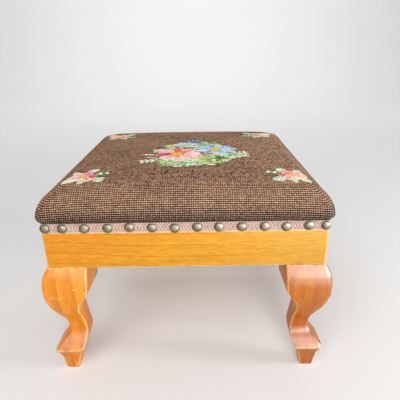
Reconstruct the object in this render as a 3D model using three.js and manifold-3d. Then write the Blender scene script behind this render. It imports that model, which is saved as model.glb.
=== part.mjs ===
// An upholstered footstool on four cabriole legs. Millimetres, +Z up, floor at z = 0, front towards -Y.
// The box frame stands on the legs, the seat board lies on the frame, and the padded cover is pulled down
// over the board's edge, where a braid and a row of domed nails hold it.

import * as THREE from 'three';
import { mergeVertices } from 'three/addons/utils/BufferGeometryUtils.js';
import Module from 'manifold-3d';

const wasm = await Module();
wasm.setup();

// Frame of four mitred rails
const frameWidth = 330;
const frameDepth = 330;
const railHeight = 45;
const railThickness = 19;
const frameCornerRadius = 5;
const railEdgeEase = 1.2;

// Cabriole leg, measured from the outer faces of the frame
const legHeight = 152;
const legWidth = 47.3;
const kneeProud = 9.3;
const ankleInset = 10.7;
const toeProud = 5.5;
const padInset = 3.2;
const kneeCornerRadius = 10;
const ankleCornerRadius = 6;
const footCornerRadius = 2;
const arrisRadius = 1.8;

// Corner blocks, with the bolts that hold the legs
const cornerBlockReach = 85;
const cornerBlockDrop = 1;
const boltDiameter = 7.9;
const boltLegDepth = 36;
const boltEnd = 3.7;
const boltPointLength = 6;
const nutAcrossFlats = 12.7;
const nutHeight = 6.7;
const washerRim = 1.65;
const washerThickness = 1.6;
const nutPocketDepth = 17;
const nutPocketClearance = 1.5;
const nutPocketWall = 2.2;

// Screws that hold the seat board down
const screwDiameter = 4.2;
const screwHeadDiameter = 8.4;
const screwHeadHeight = 2.8;
const screwPointLength = 5;
const screwPocketDepth = 10;
const screwPocketClearance = 0.8;
const screwBiteShare = 0.79;

// Seat board, padding and cover
const boardThickness = 12;
const coverThickness = 1.2;
const hemLift = 0.6;
const waddingThickness = 5;
const foamSetback = 1.1;
const seatOverhang = 4.5;
const bulgeRise = 6;
const edgeRun = 37;
const edgeRise = 35;
const crownRise = 6;
const sideDraw = 1.2;
const cornerDrop = 2;
const bulgeCornerRadius = 10;
const topCornerRadius = 22;

// Braid and nails
const braidThickness = 1.4;
const braidMargin = 0.4;
const nailHeadDiameter = 11.2;
const nailHeadHeight = 3;
const nailLength = 12.7;
const nailShankWidth = 1.6;
const nailPointLength = 4;
const nailPitch = 25.4;
const nailRowMargin = 20;
const cornerNailInset = 6;
const nailStripHeight = 3;
const nailStripThickness = 0.4;

// Clearances, and how far a cut runs past what it cuts
const fitGap = 0.3;
const drillOverrun = 1.5;
const cutOverrun = 1;
const leastCornerRadius = 0.3;
const weldTolerance = 1e-4;

// Steps of the round shapes
const hardwareSegments = 10;
const holeSegments = 12;
const nailSegments = 8;
const nailDomeSteps = 2;
const seatCornerSteps = 3;
const seatSideSteps = 4;
const legOuterCornerSteps = 3;
const legArrisSteps = 2;

const quarterTurn = Math.PI / 2;
const cornerTurns = [0, 1, 2, 3];

// Heights and places that follow from the sizes above
const railTop = legHeight + railHeight;
const blockHeight = railHeight - cornerBlockDrop;
const washerDiameter = nutAcrossFlats + 2 * washerRim;
const nutPocketDiameter = washerDiameter + 2 * nutPocketClearance;
const boltInset = railThickness + fitGap + nutPocketWall + nutPocketDiameter / 2;
const washerSeat = blockHeight - nutPocketDepth;
const boltTop = washerSeat + washerThickness + nutHeight + boltEnd;
const blockLongFace = railThickness + fitGap + cornerBlockReach / 2;
const screwInset = (legWidth + blockLongFace) / 2;
const screwLength = blockHeight - screwPocketDepth + cornerBlockDrop + boardThickness * screwBiteShare;
const braidHeight = nailHeadDiameter + 2 * braidMargin;
const nailStripProud = -braidThickness - fitGap;
const hemProud = nailStripProud - nailStripThickness - fitGap;
const hemInnerProud = hemProud - coverThickness;
const boardProud = hemInnerProud - fitGap;

const finishes = {
  needlepoint: { color: 0x4a3226, roughness: 0.95, metalness: 0 },
  wadding: { color: 0xe9e4d8, roughness: 1, metalness: 0 },
  foam: { color: 0xe3cf94, roughness: 0.95, metalness: 0 },
  plywood: { color: 0xc9a26b, roughness: 0.7, metalness: 0 },
  braid: { color: 0xc58f86, roughness: 0.9, metalness: 0 },
  nail: { color: 0x8b8467, roughness: 0.35, metalness: 1 },
  rail: { color: 0xd8862b, roughness: 0.3, metalness: 0 },
  leg: { color: 0xc4651f, roughness: 0.22, metalness: 0 },
  block: { color: 0xb98a55, roughness: 0.7, metalness: 0 },
  steel: { color: 0xa9acae, roughness: 0.4, metalness: 1 },
};

const footstool = new THREE.Group();

/** Joins the shared points of a geometry, drops collapsed triangles and turns its faces outwards. */
function weld(geometry) {
  const bare = geometry.clone();
  bare.deleteAttribute('normal');
  bare.deleteAttribute('uv');
  const merged = mergeVertices(bare, weldTolerance);
  const position = merged.attributes.position;
  const corners = [0, 1, 2].map(() => new THREE.Vector3());
  let kept = [];
  let volume = 0;
  for (let start = 0; start < merged.index.count; start += 3) {
    const face = [0, 1, 2].map((step) => merged.index.getX(start + step));
    if (new Set(face).size === 3) {
      face.forEach((vertex, step) => corners[step].fromBufferAttribute(position, vertex));
      volume += corners[0].dot(corners[1].clone().cross(corners[2]));
      kept.push(...face);
    }
  }
  if (volume < 0) {
    kept = kept.reverse();
  }
  const welded = new THREE.BufferGeometry();
  welded.setAttribute('position', position);
  welded.setIndex(kept);
  welded.computeVertexNormals();
  return welded;
}

/** A geometry as a solid that can be cut and joined. */
function toSolid(geometry) {
  const welded = weld(geometry);
  return new wasm.Manifold(new wasm.Mesh({
    numProp: 3,
    vertProperties: Float32Array.from(welded.attributes.position.array),
    triVerts: Uint32Array.from(welded.index.array),
  }));
}

/** A cut or joined solid as a geometry again. */
function toGeometry(solid) {
  const mesh = solid.getMesh();
  const geometry = new THREE.BufferGeometry();
  geometry.setAttribute('position', new THREE.BufferAttribute(mesh.vertProperties, 3));
  geometry.setIndex(new THREE.BufferAttribute(mesh.triVerts, 1));
  geometry.computeVertexNormals();
  return geometry;
}

/** One named sub-part with its finish, added to the group that carries it. */
function addPart(parent, name, geometry, finish) {
  const mesh = new THREE.Mesh(geometry, new THREE.MeshStandardMaterial(finishes[finish]));
  mesh.name = name;
  parent.add(mesh);
  return mesh;
}

/** Closed skin through a stack of rings, which starts and ends in a ring of one point. */
function skin(rings) {
  const positions = [];
  const starts = [];
  rings.forEach((ring) => {
    starts.push(positions.length / 3);
    ring.forEach((point) => positions.push(point.x, point.y, point.z));
  });
  const index = [];
  for (let level = 0; level + 1 < rings.length; level += 1) {
    const below = rings[level].length;
    const above = rings[level + 1].length;
    const count = Math.max(below, above);
    for (let step = 0; step < count; step += 1) {
      const next = (step + 1) % count;
      const lower = starts[level] + (step % below);
      const lowerNext = starts[level] + (next % below);
      const upper = starts[level + 1] + (step % above);
      const upperNext = starts[level + 1] + (next % above);
      index.push(lower, lowerNext, upperNext);
      index.push(lower, upperNext, upper);
    }
  }
  const geometry = new THREE.BufferGeometry();
  geometry.setAttribute('position', new THREE.Float32BufferAttribute(positions, 3));
  geometry.setIndex(index);
  return weld(geometry);
}

/** Solid of revolution about +Z through points given as [radius, height]. */
function turned(profile, segments) {
  const points = profile.map(([radius, height]) => new THREE.Vector2(radius, height));
  return new THREE.LatheGeometry(points, segments).rotateX(quarterTurn);
}

/** Upright round bar between two heights. */
function roundBar(diameter, bottom, top, segments) {
  return turned([[0, bottom], [diameter / 2, bottom], [diameter / 2, top], [0, top]], segments);
}

/** Plan outline of a rectangle with round corners, a given distance proud of the frame's faces. */
function framePlan(proud, path = new THREE.Shape()) {
  const halfX = frameWidth / 2 + proud;
  const halfY = frameDepth / 2 + proud;
  const radius = Math.max(frameCornerRadius + proud, leastCornerRadius);
  cornerTurns.forEach((turn) => {
    const signX = turn === 0 || turn === 3 ? 1 : -1;
    const signY = turn < 2 ? 1 : -1;
    const from = turn * quarterTurn;
    path.absarc(signX * (halfX - radius), signY * (halfY - radius), radius, from, from + quarterTurn);
  });
  path.closePath();
  return path;
}

/** Plan outline of a plain rectangle, a given distance proud of the frame's faces. */
function squarePlan(proud) {
  const halfX = frameWidth / 2 + proud;
  const halfY = frameDepth / 2 + proud;
  return new THREE.Path([
    new THREE.Vector2(-halfX, -halfY), new THREE.Vector2(halfX, -halfY),
    new THREE.Vector2(halfX, halfY), new THREE.Vector2(-halfX, halfY),
  ]);
}

/** Four mitred rails: one box frame, eased along its lower edges and parted by a glue line at each corner. */
function makeRails() {
  const ringDepth = railHeight + 2 * railEdgeEase;
  const plan = framePlan(-railEdgeEase);
  plan.holes.push(squarePlan(railEdgeEase - railThickness));
  const ring = toSolid(new THREE.ExtrudeGeometry(plan, {
    depth: ringDepth,
    bevelSize: railEdgeEase,
    bevelThickness: railEdgeEase,
    bevelSegments: 1,
    curveSegments: seatCornerSteps,
  }).translate(0, 0, railEdgeEase - railHeight));
  const names = ['rail_front', 'rail_right', 'rail_back', 'rail_left'];
  const mitreGap = fitGap * Math.SQRT1_2;
  names.forEach((name, turn) => {
    const along = (turn % 2 === 0 ? frameWidth : frameDepth) / 2 - mitreGap;
    const out = (turn % 2 === 0 ? frameDepth : frameWidth) / 2;
    const inner = railThickness + cutOverrun;
    const wedge = new THREE.Shape([
      new THREE.Vector2(-along - cutOverrun, -out - cutOverrun),
      new THREE.Vector2(along + cutOverrun, -out - cutOverrun),
      new THREE.Vector2(along - inner, inner - out),
      new THREE.Vector2(inner - along, inner - out),
    ]);
    const depth = railHeight + cutOverrun;
    const quarter = new THREE.ExtrudeGeometry(wedge, { depth, bevelEnabled: false })
      .translate(0, 0, -depth)
      .rotateZ(turn * quarterTurn);
    const rail = addPart(footstool, name, toGeometry(ring.intersect(toSolid(quarter))), 'rail');
    rail.position.z = railTop;
  });
}

// Outer line of the leg: share of its height, then share of the size that the stretch is named after
const outerLineShares = {
  pad: [[0, 1], [0.066, 0.62], [0.132, 0.12]],
  toe: [[0.184, 0.55], [0.217, 1], [0.237, 0.73], [0.263, 0.09]],
  ankle: [[0.289, 0.28], [0.329, 0.84], [0.37, 1], [0.434, 0.93], [0.48, 0.72], [0.546, 0.23]],
  knee: [[0.612, 0.32], [0.678, 0.73], [0.757, 0.99], [0.822, 1], [0.908, 0.785], [0.96, 0.39], [1, 0]],
};

// Inner line of the leg: share of its height, then share of its width at the top
const innerLineShares = [
  [0, 0.416], [0.132, 0.507], [0.184, 0.571], [0.243, 0.672], [0.283, 0.71], [0.335, 0.736], [0.46, 0.698],
  [0.559, 0.664], [0.592, 0.662], [0.651, 0.698], [0.711, 0.793], [0.757, 0.92], [0.789, 0.977], [1, 1],
];

// How round the leg's outer corner is: share of its height, then the radius
const outerCornerLine = [
  [0, footCornerRadius], [0.217, footCornerRadius], [0.3, ankleCornerRadius], [0.5, ankleCornerRadius],
  [0.7, kneeCornerRadius], [0.85, kneeCornerRadius], [1, frameCornerRadius],
];

const legLevelShares = [
  0, 0.08, 0.15, 0.184, 0.217, 0.237, 0.263, 0.289, 0.329, 0.37, 0.434, 0.5, 0.546, 0.592, 0.651, 0.711,
  0.757, 0.789, 0.822, 0.87, 0.93, 1,
];

/** Value at a place along a table of [place, value] rows, in straight steps. */
function along(rows, place) {
  const above = Math.max(1, rows.findIndex(([rowPlace]) => rowPlace >= place));
  const [fromPlace, fromValue] = rows[above - 1];
  const [toPlace, toValue] = rows[above];
  return THREE.MathUtils.mapLinear(place, fromPlace, toPlace, fromValue, toValue);
}

/** The outer line in real sizes: how far the leg stands past the frame at each share of its height. */
function outerLine() {
  const sizes = { pad: -padInset, toe: toeProud, ankle: -ankleInset, knee: kneeProud };
  return Object.entries(outerLineShares).flatMap(
    ([stretch, rows]) => rows.map(([place, share]) => [place, share * sizes[stretch]]),
  );
}

/** Arc of a level ring about a corner of the leg's square section. */
function cornerArc(centreX, centreY, radius, from, steps, height) {
  return Array.from({ length: steps + 1 }, (_, step) => {
    const angle = from + (quarterTurn * step) / steps;
    return new THREE.Vector3(centreX + radius * Math.cos(angle), centreY + radius * Math.sin(angle), height);
  });
}

/** Level ring of the leg: a square with its outer corner rounded more than the other three. */
function legRing(share, proud, depth) {
  const height = (share - 1) * legHeight;
  const round = along(outerCornerLine, share);
  const small = arrisRadius;
  return [
    ...cornerArc(proud - round, proud - round, round, 0, legOuterCornerSteps, height),
    ...cornerArc(small - depth, proud - small, small, quarterTurn, legArrisSteps, height),
    ...cornerArc(small - depth, small - depth, small, 2 * quarterTurn, legArrisSteps, height),
    ...cornerArc(proud - small, small - depth, small, 3 * quarterTurn, legArrisSteps, height),
  ];
}

/** One cabriole leg with the hole for its bolt. Its top is at z = 0 and the frame's corner at x = y = 0. */
function makeLegGeometry() {
  const outer = outerLine();
  const rings = legLevelShares.map(
    (share) => legRing(share, along(outer, share), legWidth * along(innerLineShares, share)),
  );
  const padMiddle = -(padInset + legWidth * along(innerLineShares, 0)) / 2;
  const floor = new THREE.Vector3(padMiddle, padMiddle, -legHeight);
  const top = new THREE.Vector3(-legWidth / 2, -legWidth / 2, 0);
  const body = toSolid(skin([[floor], ...rings, [top]]));
  const hole = roundBar(boltDiameter + 2 * fitGap, -boltLegDepth - drillOverrun, cutOverrun, holeSegments);
  return toGeometry(body.subtract(toSolid(hole.translate(-boltInset, -boltInset, 0))));
}

/** Triangular glue block with the leg bolt's hole and nut pocket, and the seat screw's hole and pocket. */
function makeBlockGeometry() {
  const inner = -railThickness - fitGap;
  const plan = new THREE.Shape([
    new THREE.Vector2(inner, inner),
    new THREE.Vector2(inner - cornerBlockReach, inner),
    new THREE.Vector2(inner, inner - cornerBlockReach),
  ]);
  const body = new THREE.ExtrudeGeometry(plan, { depth: blockHeight, bevelEnabled: false });
  const boltHole = roundBar(boltDiameter + 2 * fitGap, -cutOverrun, blockHeight, holeSegments)
    .translate(-boltInset, -boltInset, 0);
  const nutPocket = roundBar(nutPocketDiameter, washerSeat, blockHeight + cutOverrun, holeSegments)
    .translate(-boltInset, -boltInset, 0);
  const screwHole = roundBar(screwDiameter + 2 * fitGap, 0, blockHeight + cutOverrun, holeSegments)
    .translate(-screwInset, -screwInset, 0);
  const screwPocket = roundBar(
    screwHeadDiameter + 2 * screwPocketClearance, -cutOverrun, screwPocketDepth, holeSegments,
  ).translate(-screwInset, -screwInset, 0);
  const cuts = [boltHole, nutPocket, screwHole, screwPocket].map(toSolid);
  return toGeometry(cuts.reduce((block, cut) => block.subtract(cut), toSolid(body)));
}

/** Hanger bolt: a pointed wood end in the leg and a machine end through the block. */
function makeBoltGeometry() {
  const radius = boltDiameter / 2;
  return turned([
    [0, -boltLegDepth], [radius, boltPointLength - boltLegDepth], [radius, boltTop], [0, boltTop],
  ], hardwareSegments);
}

/** Flat washer, open in the middle for the bolt. */
function makeWasherGeometry() {
  const hole = boltDiameter / 2 + fitGap;
  const rim = washerDiameter / 2;
  const section = [[hole, 0], [rim, 0], [rim, washerThickness], [hole, washerThickness], [hole, 0]];
  return turned(section, holeSegments);
}

/** Hexagon nut with a bore that clears the bolt. */
function makeNutGeometry() {
  const hexagonSides = 6;
  const acrossCorners = nutAcrossFlats / Math.cos(Math.PI / hexagonSides);
  const plan = new THREE.Shape(Array.from({ length: hexagonSides }, (_, side) => {
    const angle = (2 * Math.PI * side) / hexagonSides;
    return new THREE.Vector2(acrossCorners / 2 * Math.cos(angle), acrossCorners / 2 * Math.sin(angle));
  }));
  plan.holes.push(new THREE.Path().absarc(0, 0, boltDiameter / 2 + fitGap, 0, 2 * Math.PI));
  return new THREE.ExtrudeGeometry(plan, {
    depth: nutHeight, bevelEnabled: false, curveSegments: hardwareSegments,
  });
}

/** Round-head wood screw with its head down: the bearing face of the head is at z = 0. */
function makeScrewGeometry() {
  const radius = screwDiameter / 2;
  const headRadius = screwHeadDiameter / 2;
  const headRoundShare = 0.7;
  return turned([
    [0, -screwHeadHeight], [headRadius * headRoundShare, -screwHeadHeight * headRoundShare], [headRadius, 0],
    [radius, 0], [radius, screwLength - screwPointLength], [0, screwLength],
  ], hardwareSegments);
}

/** The four corners, each with its leg, block, bolt, washer, nut and seat screw. */
function makeCorners() {
  const names = ['back_right', 'back_left', 'front_left', 'front_right'];
  const parts = [
    ['leg', makeLegGeometry(), 'leg', [0, 0, 0]],
    ['corner_block', makeBlockGeometry(), 'block', [0, 0, 0]],
    ['hanger_bolt', makeBoltGeometry(), 'steel', [-boltInset, -boltInset, 0]],
    ['washer', makeWasherGeometry(), 'steel', [-boltInset, -boltInset, washerSeat]],
    ['hex_nut', makeNutGeometry(), 'steel', [-boltInset, -boltInset, washerSeat + washerThickness]],
    ['seat_screw', makeScrewGeometry(), 'steel', [-screwInset, -screwInset, screwPocketDepth]],
  ].map(([name, geometry, finish, place]) => [name, weld(geometry), finish, place]);
  names.forEach((corner, turn) => {
    const signX = turn === 0 || turn === 3 ? 1 : -1;
    const signY = turn < 2 ? 1 : -1;
    const group = new THREE.Group();
    group.position.set((signX * frameWidth) / 2, (signY * frameDepth) / 2, legHeight);
    group.rotation.z = turn * quarterTurn;
    parts.forEach(([name, geometry, finish, place]) => {
      addPart(group, `${name}_${corner}`, geometry, finish).position.set(...place);
    });
    footstool.add(group);
  });
}

/** The four sides in turn from the front: quarter turn, distance from the middle, and nail places. */
function nailRows() {
  return ['front', 'right', 'back', 'left'].map((side, turn) => {
    const facesY = turn % 2 === 0;
    const length = facesY ? frameWidth : frameDepth;
    const count = Math.floor((length - 2 * nailRowMargin) / nailPitch) + 1;
    const first = (-nailPitch * (count - 1)) / 2;
    const places = Array.from({ length: count }, (_, nail) => first + nail * nailPitch);
    const corner = length / 2 - cornerNailInset;
    return {
      side,
      turn: turn * quarterTurn,
      out: (facesY ? frameDepth : frameWidth) / 2,
      places: facesY ? [-corner, ...places, corner] : places,
    };
  });
}

/** Box that spans three ranges, given as [from, to] along X, Y and Z. */
function boxBetween([x0, x1], [y0, y1], [z0, z1]) {
  return new THREE.BoxGeometry(x1 - x0, y1 - y0, z1 - z0)
    .translate((x0 + x1) / 2, (y0 + y1) / 2, (z0 + z1) / 2);
}

/** Square hole for every nail's shank, through braid and hem into the board; z = 0 is the rails' top. */
function makeNailHoles() {
  const half = nailShankWidth / 2 + fitGap;
  const middle = braidHeight / 2;
  const holes = nailRows().flatMap(({ turn, out, places }) => places.map((place) => toSolid(
    boxBetween(
      [place - half, place + half],
      [-out - cutOverrun, nailLength + fitGap - out],
      [middle - half, middle + half],
    ).rotateZ(turn),
  )));
  return wasm.Manifold.union(holes);
}

/** One domed nail that points along +Y, with the underside of its head at y = 0. */
function makeNail() {
  const radius = nailHeadDiameter / 2;
  const domeRadius = (radius * radius + nailHeadHeight * nailHeadHeight) / (2 * nailHeadHeight);
  const domeSweep = Math.asin(radius / domeRadius);
  const dome = Array.from({ length: nailDomeSteps + 1 }, (_, step) => {
    const angle = (domeSweep * step) / nailDomeSteps;
    return [domeRadius * Math.sin(angle), nailHeadHeight - domeRadius * (1 - Math.cos(angle))];
  });
  const head = turned([...dome, [0, 0]], nailSegments).rotateX(quarterTurn);
  const half = nailShankWidth / 2;
  const tip = new THREE.Vector3(0, nailLength, 0);
  const shank = skin([
    [new THREE.Vector3(0, -cutOverrun, 0)],
    ...[-cutOverrun, nailLength - nailPointLength].map((y) => [
      new THREE.Vector3(-half, y, -half), new THREE.Vector3(half, y, -half),
      new THREE.Vector3(half, y, half), new THREE.Vector3(-half, y, half),
    ]),
    [tip],
  ]);
  return toSolid(head).add(toSolid(shank));
}

/** A row of nails for each side, its shanks joined by a thin strip that lies behind the braid. */
function makeNails() {
  const nail = makeNail();
  const stripFront = braidThickness + 2 * fitGap;
  nailRows().forEach(({ side, turn, out, places }) => {
    const end = places[places.length - 1];
    const strip = boxBetween(
      [-end, end],
      [stripFront, stripFront + nailStripThickness],
      [-nailStripHeight / 2, nailStripHeight / 2],
    );
    const nails = places.map((place) => nail.translate([place, 0, 0]));
    const row = wasm.Manifold.union([toSolid(strip), ...nails]);
    const group = new THREE.Group();
    group.rotation.z = turn;
    addPart(group, `nails_${side}`, toGeometry(row), 'nail').position.set(0, -out - fitGap, 0);
    group.position.z = railTop + braidHeight / 2;
    footstool.add(group);
  });
}

/** Woven band round the board's edge, with a hole for every nail. */
function makeBraid(nailHoles) {
  const plan = framePlan(0);
  plan.holes.push(framePlan(-braidThickness, new THREE.Path()));
  const band = new THREE.ExtrudeGeometry(plan, {
    depth: braidHeight, bevelEnabled: false, curveSegments: seatCornerSteps,
  });
  const braid = addPart(footstool, 'gimp_braid', toGeometry(toSolid(band).subtract(nailHoles)), 'braid');
  braid.position.z = railTop;
}

/** Plywood board on the rails, drilled for the seat screws and the nails. */
function makeBoard(nailHoles) {
  const plate = new THREE.ExtrudeGeometry(framePlan(boardProud), {
    depth: boardThickness, bevelEnabled: false, curveSegments: seatCornerSteps,
  });
  const pilotTop = boardThickness * screwBiteShare + fitGap;
  const pilots = cornerTurns.map((turn) => {
    const x = (turn % 2 === 0 ? 1 : -1) * (frameWidth / 2 - screwInset);
    const y = (turn < 2 ? 1 : -1) * (frameDepth / 2 - screwInset);
    const pilot = roundBar(screwDiameter + 2 * fitGap, -cutOverrun, pilotTop, holeSegments);
    return toSolid(pilot.translate(x, y, 0));
  });
  const board = toSolid(plate).subtract(wasm.Manifold.union([...pilots, nailHoles]));
  addPart(footstool, 'seat_board', toGeometry(board), 'plywood').position.z = railTop;
}

// Heights of the padded seat above the rails' top
const bulgeHeight = braidHeight + bulgeRise;
const underRun = seatOverhang - hemProud;
const underRise = bulgeRise - fitGap;
const underAngles = [0, 45].map(THREE.MathUtils.degToRad);
const edgeAngles = [0, 18, 36, 54, 72, 90].map(THREE.MathUtils.degToRad);
const crownShares = [0.75, 0.5, 0.25];

/**
 * One level ring of the padded seat: a rectangle with round corners whose sides are drawn in a little and
 * whose corners lie a little lower. The ring is scaled about the middle by spread.
 */
function seatRing({ proud, radius, height, spread = 1, draw = 0, drop = 0 }) {
  const halfX = spread * (frameWidth / 2 + proud);
  const halfY = spread * (frameDepth / 2 + proud);
  const round = spread * Math.max(radius, leastCornerRadius);
  const arcs = cornerTurns.map((turn) => {
    const signX = turn === 0 || turn === 3 ? 1 : -1;
    const signY = turn < 2 ? 1 : -1;
    return cornerArc(
      signX * (halfX - round), signY * (halfY - round), round, turn * quarterTurn, seatCornerSteps, height,
    );
  });
  const ring = arcs.flatMap((arc, turn) => {
    const end = arc[seatCornerSteps];
    const next = arcs[(turn + 1) % arcs.length][0];
    const outward = (turn + 1) * quarterTurn;
    const side = Array.from({ length: seatSideSteps - 1 }, (_, step) => {
      const share = (step + 1) / seatSideSteps;
      const inward = draw * 4 * share * (1 - share);
      return end.clone().lerp(next, share)
        .sub(new THREE.Vector3(inward * Math.cos(outward), inward * Math.sin(outward), 0));
    });
    return [...arc, ...side];
  });
  ring.forEach((point) => {
    const cornerness = Math.min(Math.abs(point.x) / halfX, Math.abs(point.y) / halfY);
    point.z -= drop * cornerness * cornerness;
  });
  return ring;
}

/** Rings of the seat's rounded edge and crown from the widest level up, an inset inside the cover's face. */
function upperRings(inset) {
  const edge = edgeAngles.map((angle) => {
    const turn = 1 - Math.cos(angle);
    return seatRing({
      proud: seatOverhang - edgeRun + (edgeRun - inset) * Math.cos(angle),
      radius: THREE.MathUtils.lerp(bulgeCornerRadius, topCornerRadius, turn) - inset * (1 - turn),
      height: bulgeHeight + (edgeRise - inset) * Math.sin(angle),
      draw: sideDraw,
      drop: cornerDrop * Math.sin(angle),
    });
  });
  const crown = crownShares.map((spread) => seatRing({
    proud: seatOverhang - edgeRun,
    radius: topCornerRadius,
    height: bulgeHeight + edgeRise - inset + crownRise * (1 - spread * spread),
    spread,
    draw: sideDraw * spread,
    drop: cornerDrop * spread,
  }));
  const top = new THREE.Vector3(0, 0, bulgeHeight + edgeRise - inset + crownRise);
  return [...edge, ...crown, [top]];
}

/** Rings of the seat's underside, from the braid's top out to just below the widest level. */
function underRings(inset) {
  return underAngles.map((angle) => {
    const out = Math.sin(angle);
    return seatRing({
      proud: hemProud + (underRun - inset) * out,
      radius: THREE.MathUtils.lerp(frameCornerRadius + hemProud, bulgeCornerRadius, out) - inset * out,
      height: bulgeHeight - (underRise - inset) * Math.cos(angle),
      draw: sideDraw * out,
    });
  });
}

/** Level ring of the cover's straight hem, or of what lies against it. */
function hemRing(proud, height) {
  return seatRing({ proud, radius: frameCornerRadius + proud, height });
}

/** Worked canvas cover: crown, rounded edge and bulge, drawn in to a straight hem behind the braid. */
function makeCover(nailHoles) {
  const outside = [hemRing(hemProud, hemLift), ...underRings(0), ...upperRings(0)];
  const inside = [
    hemRing(hemInnerProud, hemLift),
    hemRing(hemInnerProud, braidHeight + fitGap + coverThickness),
    ...underRings(coverThickness),
    ...upperRings(coverThickness),
  ];
  const cover = toSolid(skin([...inside.reverse(), ...outside])).subtract(nailHoles);
  addPart(footstool, 'needlepoint_cover', toGeometry(cover), 'needlepoint').position.z = railTop;
}

/** Cotton wadding between the foam and the cover, open below. */
function makeWadding() {
  const outsideInset = coverThickness + fitGap;
  const insideInset = outsideInset + waddingThickness;
  const outside = [...underRings(outsideInset), ...upperRings(outsideInset)];
  const inside = [hemRing(hemInnerProud, bulgeHeight - underRise + outsideInset), ...upperRings(insideInset)];
  const wadding = skin([...inside.reverse(), ...outside]);
  addPart(footstool, 'cotton_wadding', wadding, 'wadding').position.z = railTop;
}

/** Foam pad that stands on the board. */
function makeFoam() {
  const inset = coverThickness + waddingThickness + 2 * fitGap;
  const bottom = boardThickness + fitGap;
  const rings = [
    [new THREE.Vector3(0, 0, bottom)],
    hemRing(boardProud - foamSetback, bottom),
    ...upperRings(inset),
  ];
  addPart(footstool, 'foam_pad', skin(rings), 'foam').position.z = railTop;
}

const nailHoles = makeNailHoles();
makeCorners();
makeRails();
makeBoard(nailHoles);
makeFoam();
makeWadding();
makeCover(nailHoles);
makeBraid(nailHoles);
makeNails();

export default footstool;
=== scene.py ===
"""Looks of an upholstered footstool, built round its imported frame.

Metres, +Z up, floor at z = 0, front towards -Y. The camera comes first, then the padded seat, the braid and
its nails, the box frame, the legs, the hidden hardware and last the floor and the lamps.
"""

import logging
import math
import random
from dataclasses import dataclass, replace
from enum import Enum
from typing import Callable, Iterable, Optional, Sequence, Union

import bmesh
import bpy
import numpy as np
from mathutils import Matrix, Vector
from mathutils.bvhtree import BVHTree
from mathutils.interpolate import poly_3d_calc


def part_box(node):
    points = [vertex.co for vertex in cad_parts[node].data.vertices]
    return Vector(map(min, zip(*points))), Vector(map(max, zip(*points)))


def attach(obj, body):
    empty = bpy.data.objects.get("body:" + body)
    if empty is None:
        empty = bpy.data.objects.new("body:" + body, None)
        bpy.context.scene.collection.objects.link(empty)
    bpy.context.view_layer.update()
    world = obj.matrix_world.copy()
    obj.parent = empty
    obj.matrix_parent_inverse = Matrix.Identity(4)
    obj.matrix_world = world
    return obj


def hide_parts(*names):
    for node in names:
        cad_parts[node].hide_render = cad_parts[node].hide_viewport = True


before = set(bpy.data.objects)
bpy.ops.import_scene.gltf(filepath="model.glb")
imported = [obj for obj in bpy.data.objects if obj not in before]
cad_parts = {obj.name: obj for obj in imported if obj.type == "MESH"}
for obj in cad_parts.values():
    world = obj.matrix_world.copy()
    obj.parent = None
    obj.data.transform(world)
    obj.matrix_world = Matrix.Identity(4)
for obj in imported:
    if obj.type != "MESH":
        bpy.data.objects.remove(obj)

LOG = logging.getLogger("footstool")
MM = 0.001
TINY = 0.001 * MM
QUARTER = math.pi / 2
BODY = "root"
SIDES = ("front", "right", "back", "left")
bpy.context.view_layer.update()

Colour = tuple[float, float, float, float]
Place = tuple[float, float]
Feed = Union["Signal", bpy.types.NodeSocket, float, Sequence[float]]


def picture_colour(red: float, green: float, blue: float) -> Colour:
    """Turns the 0 to 255 numbers of a displayed colour into the shader's linear ones.

    Args:
        red: Red, from 0 to 255.
        green: Green, from 0 to 255.
        blue: Blue, from 0 to 255.

    Returns:
        The linear colour with an alpha of 1.
    """
    levels = [channel / 255 for channel in (red, green, blue)]
    linear = [level / 12.92 if level <= 0.04045 else ((level + 0.055) / 1.055) ** 2.4 for level in levels]
    return (linear[0], linear[1], linear[2], 1.0)


def smooth_step(value: np.ndarray, low: float, high: float) -> np.ndarray:
    """Rises smoothly from 0 at low to 1 at high.

    Args:
        value: The numbers to grade.
        low: Where the rise starts.
        high: Where the rise ends.

    Returns:
        The graded numbers, from 0 to 1.
    """
    share = np.clip((value - low) / (high - low), 0, 1)
    return share * share * (3 - 2 * share)


def curve_through(
    rows: Sequence[tuple[float, float]], at: np.ndarray, creases: Iterable[float] = (),
) -> np.ndarray:
    """Smooth line through given points, which never swings past them.

    Args:
        rows: Place and value of each point, in rising places.
        at: The places where the line is wanted.
        creases: Places of points where the line may break, so that it keeps a crisp edge.

    Returns:
        The value at each place.
    """
    place, value = (np.array(column, float) for column in zip(*rows))
    step = np.diff(place)
    slope = np.diff(value) / step
    before, after = slope[:-1], slope[1:]
    inner = np.zeros_like(before)
    np.divide(2 * before * after, before + after, out=inner, where=before * after > 0)
    leaving = np.concatenate([slope[:1], inner, slope[-1:]])
    arriving = leaving.copy()
    for crease in creases:
        index = int(np.argmin(abs(place - crease)))
        arriving[index] = slope[max(index - 1, 0)]
        leaving[index] = slope[min(index, len(slope) - 1)]
    index = np.clip(np.searchsorted(place, at, side="right") - 1, 0, len(step) - 1)
    t = np.clip((at - place[index]) / step[index], 0, 1)
    rise = step[index]
    return (
        value[index] * (1 + 2 * t) * (1 - t) ** 2
        + value[index + 1] * t * t * (3 - 2 * t)
        + rise * leaving[index] * t * (1 - t) ** 2
        - rise * arriving[index + 1] * t * t * (1 - t)
    )


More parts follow.
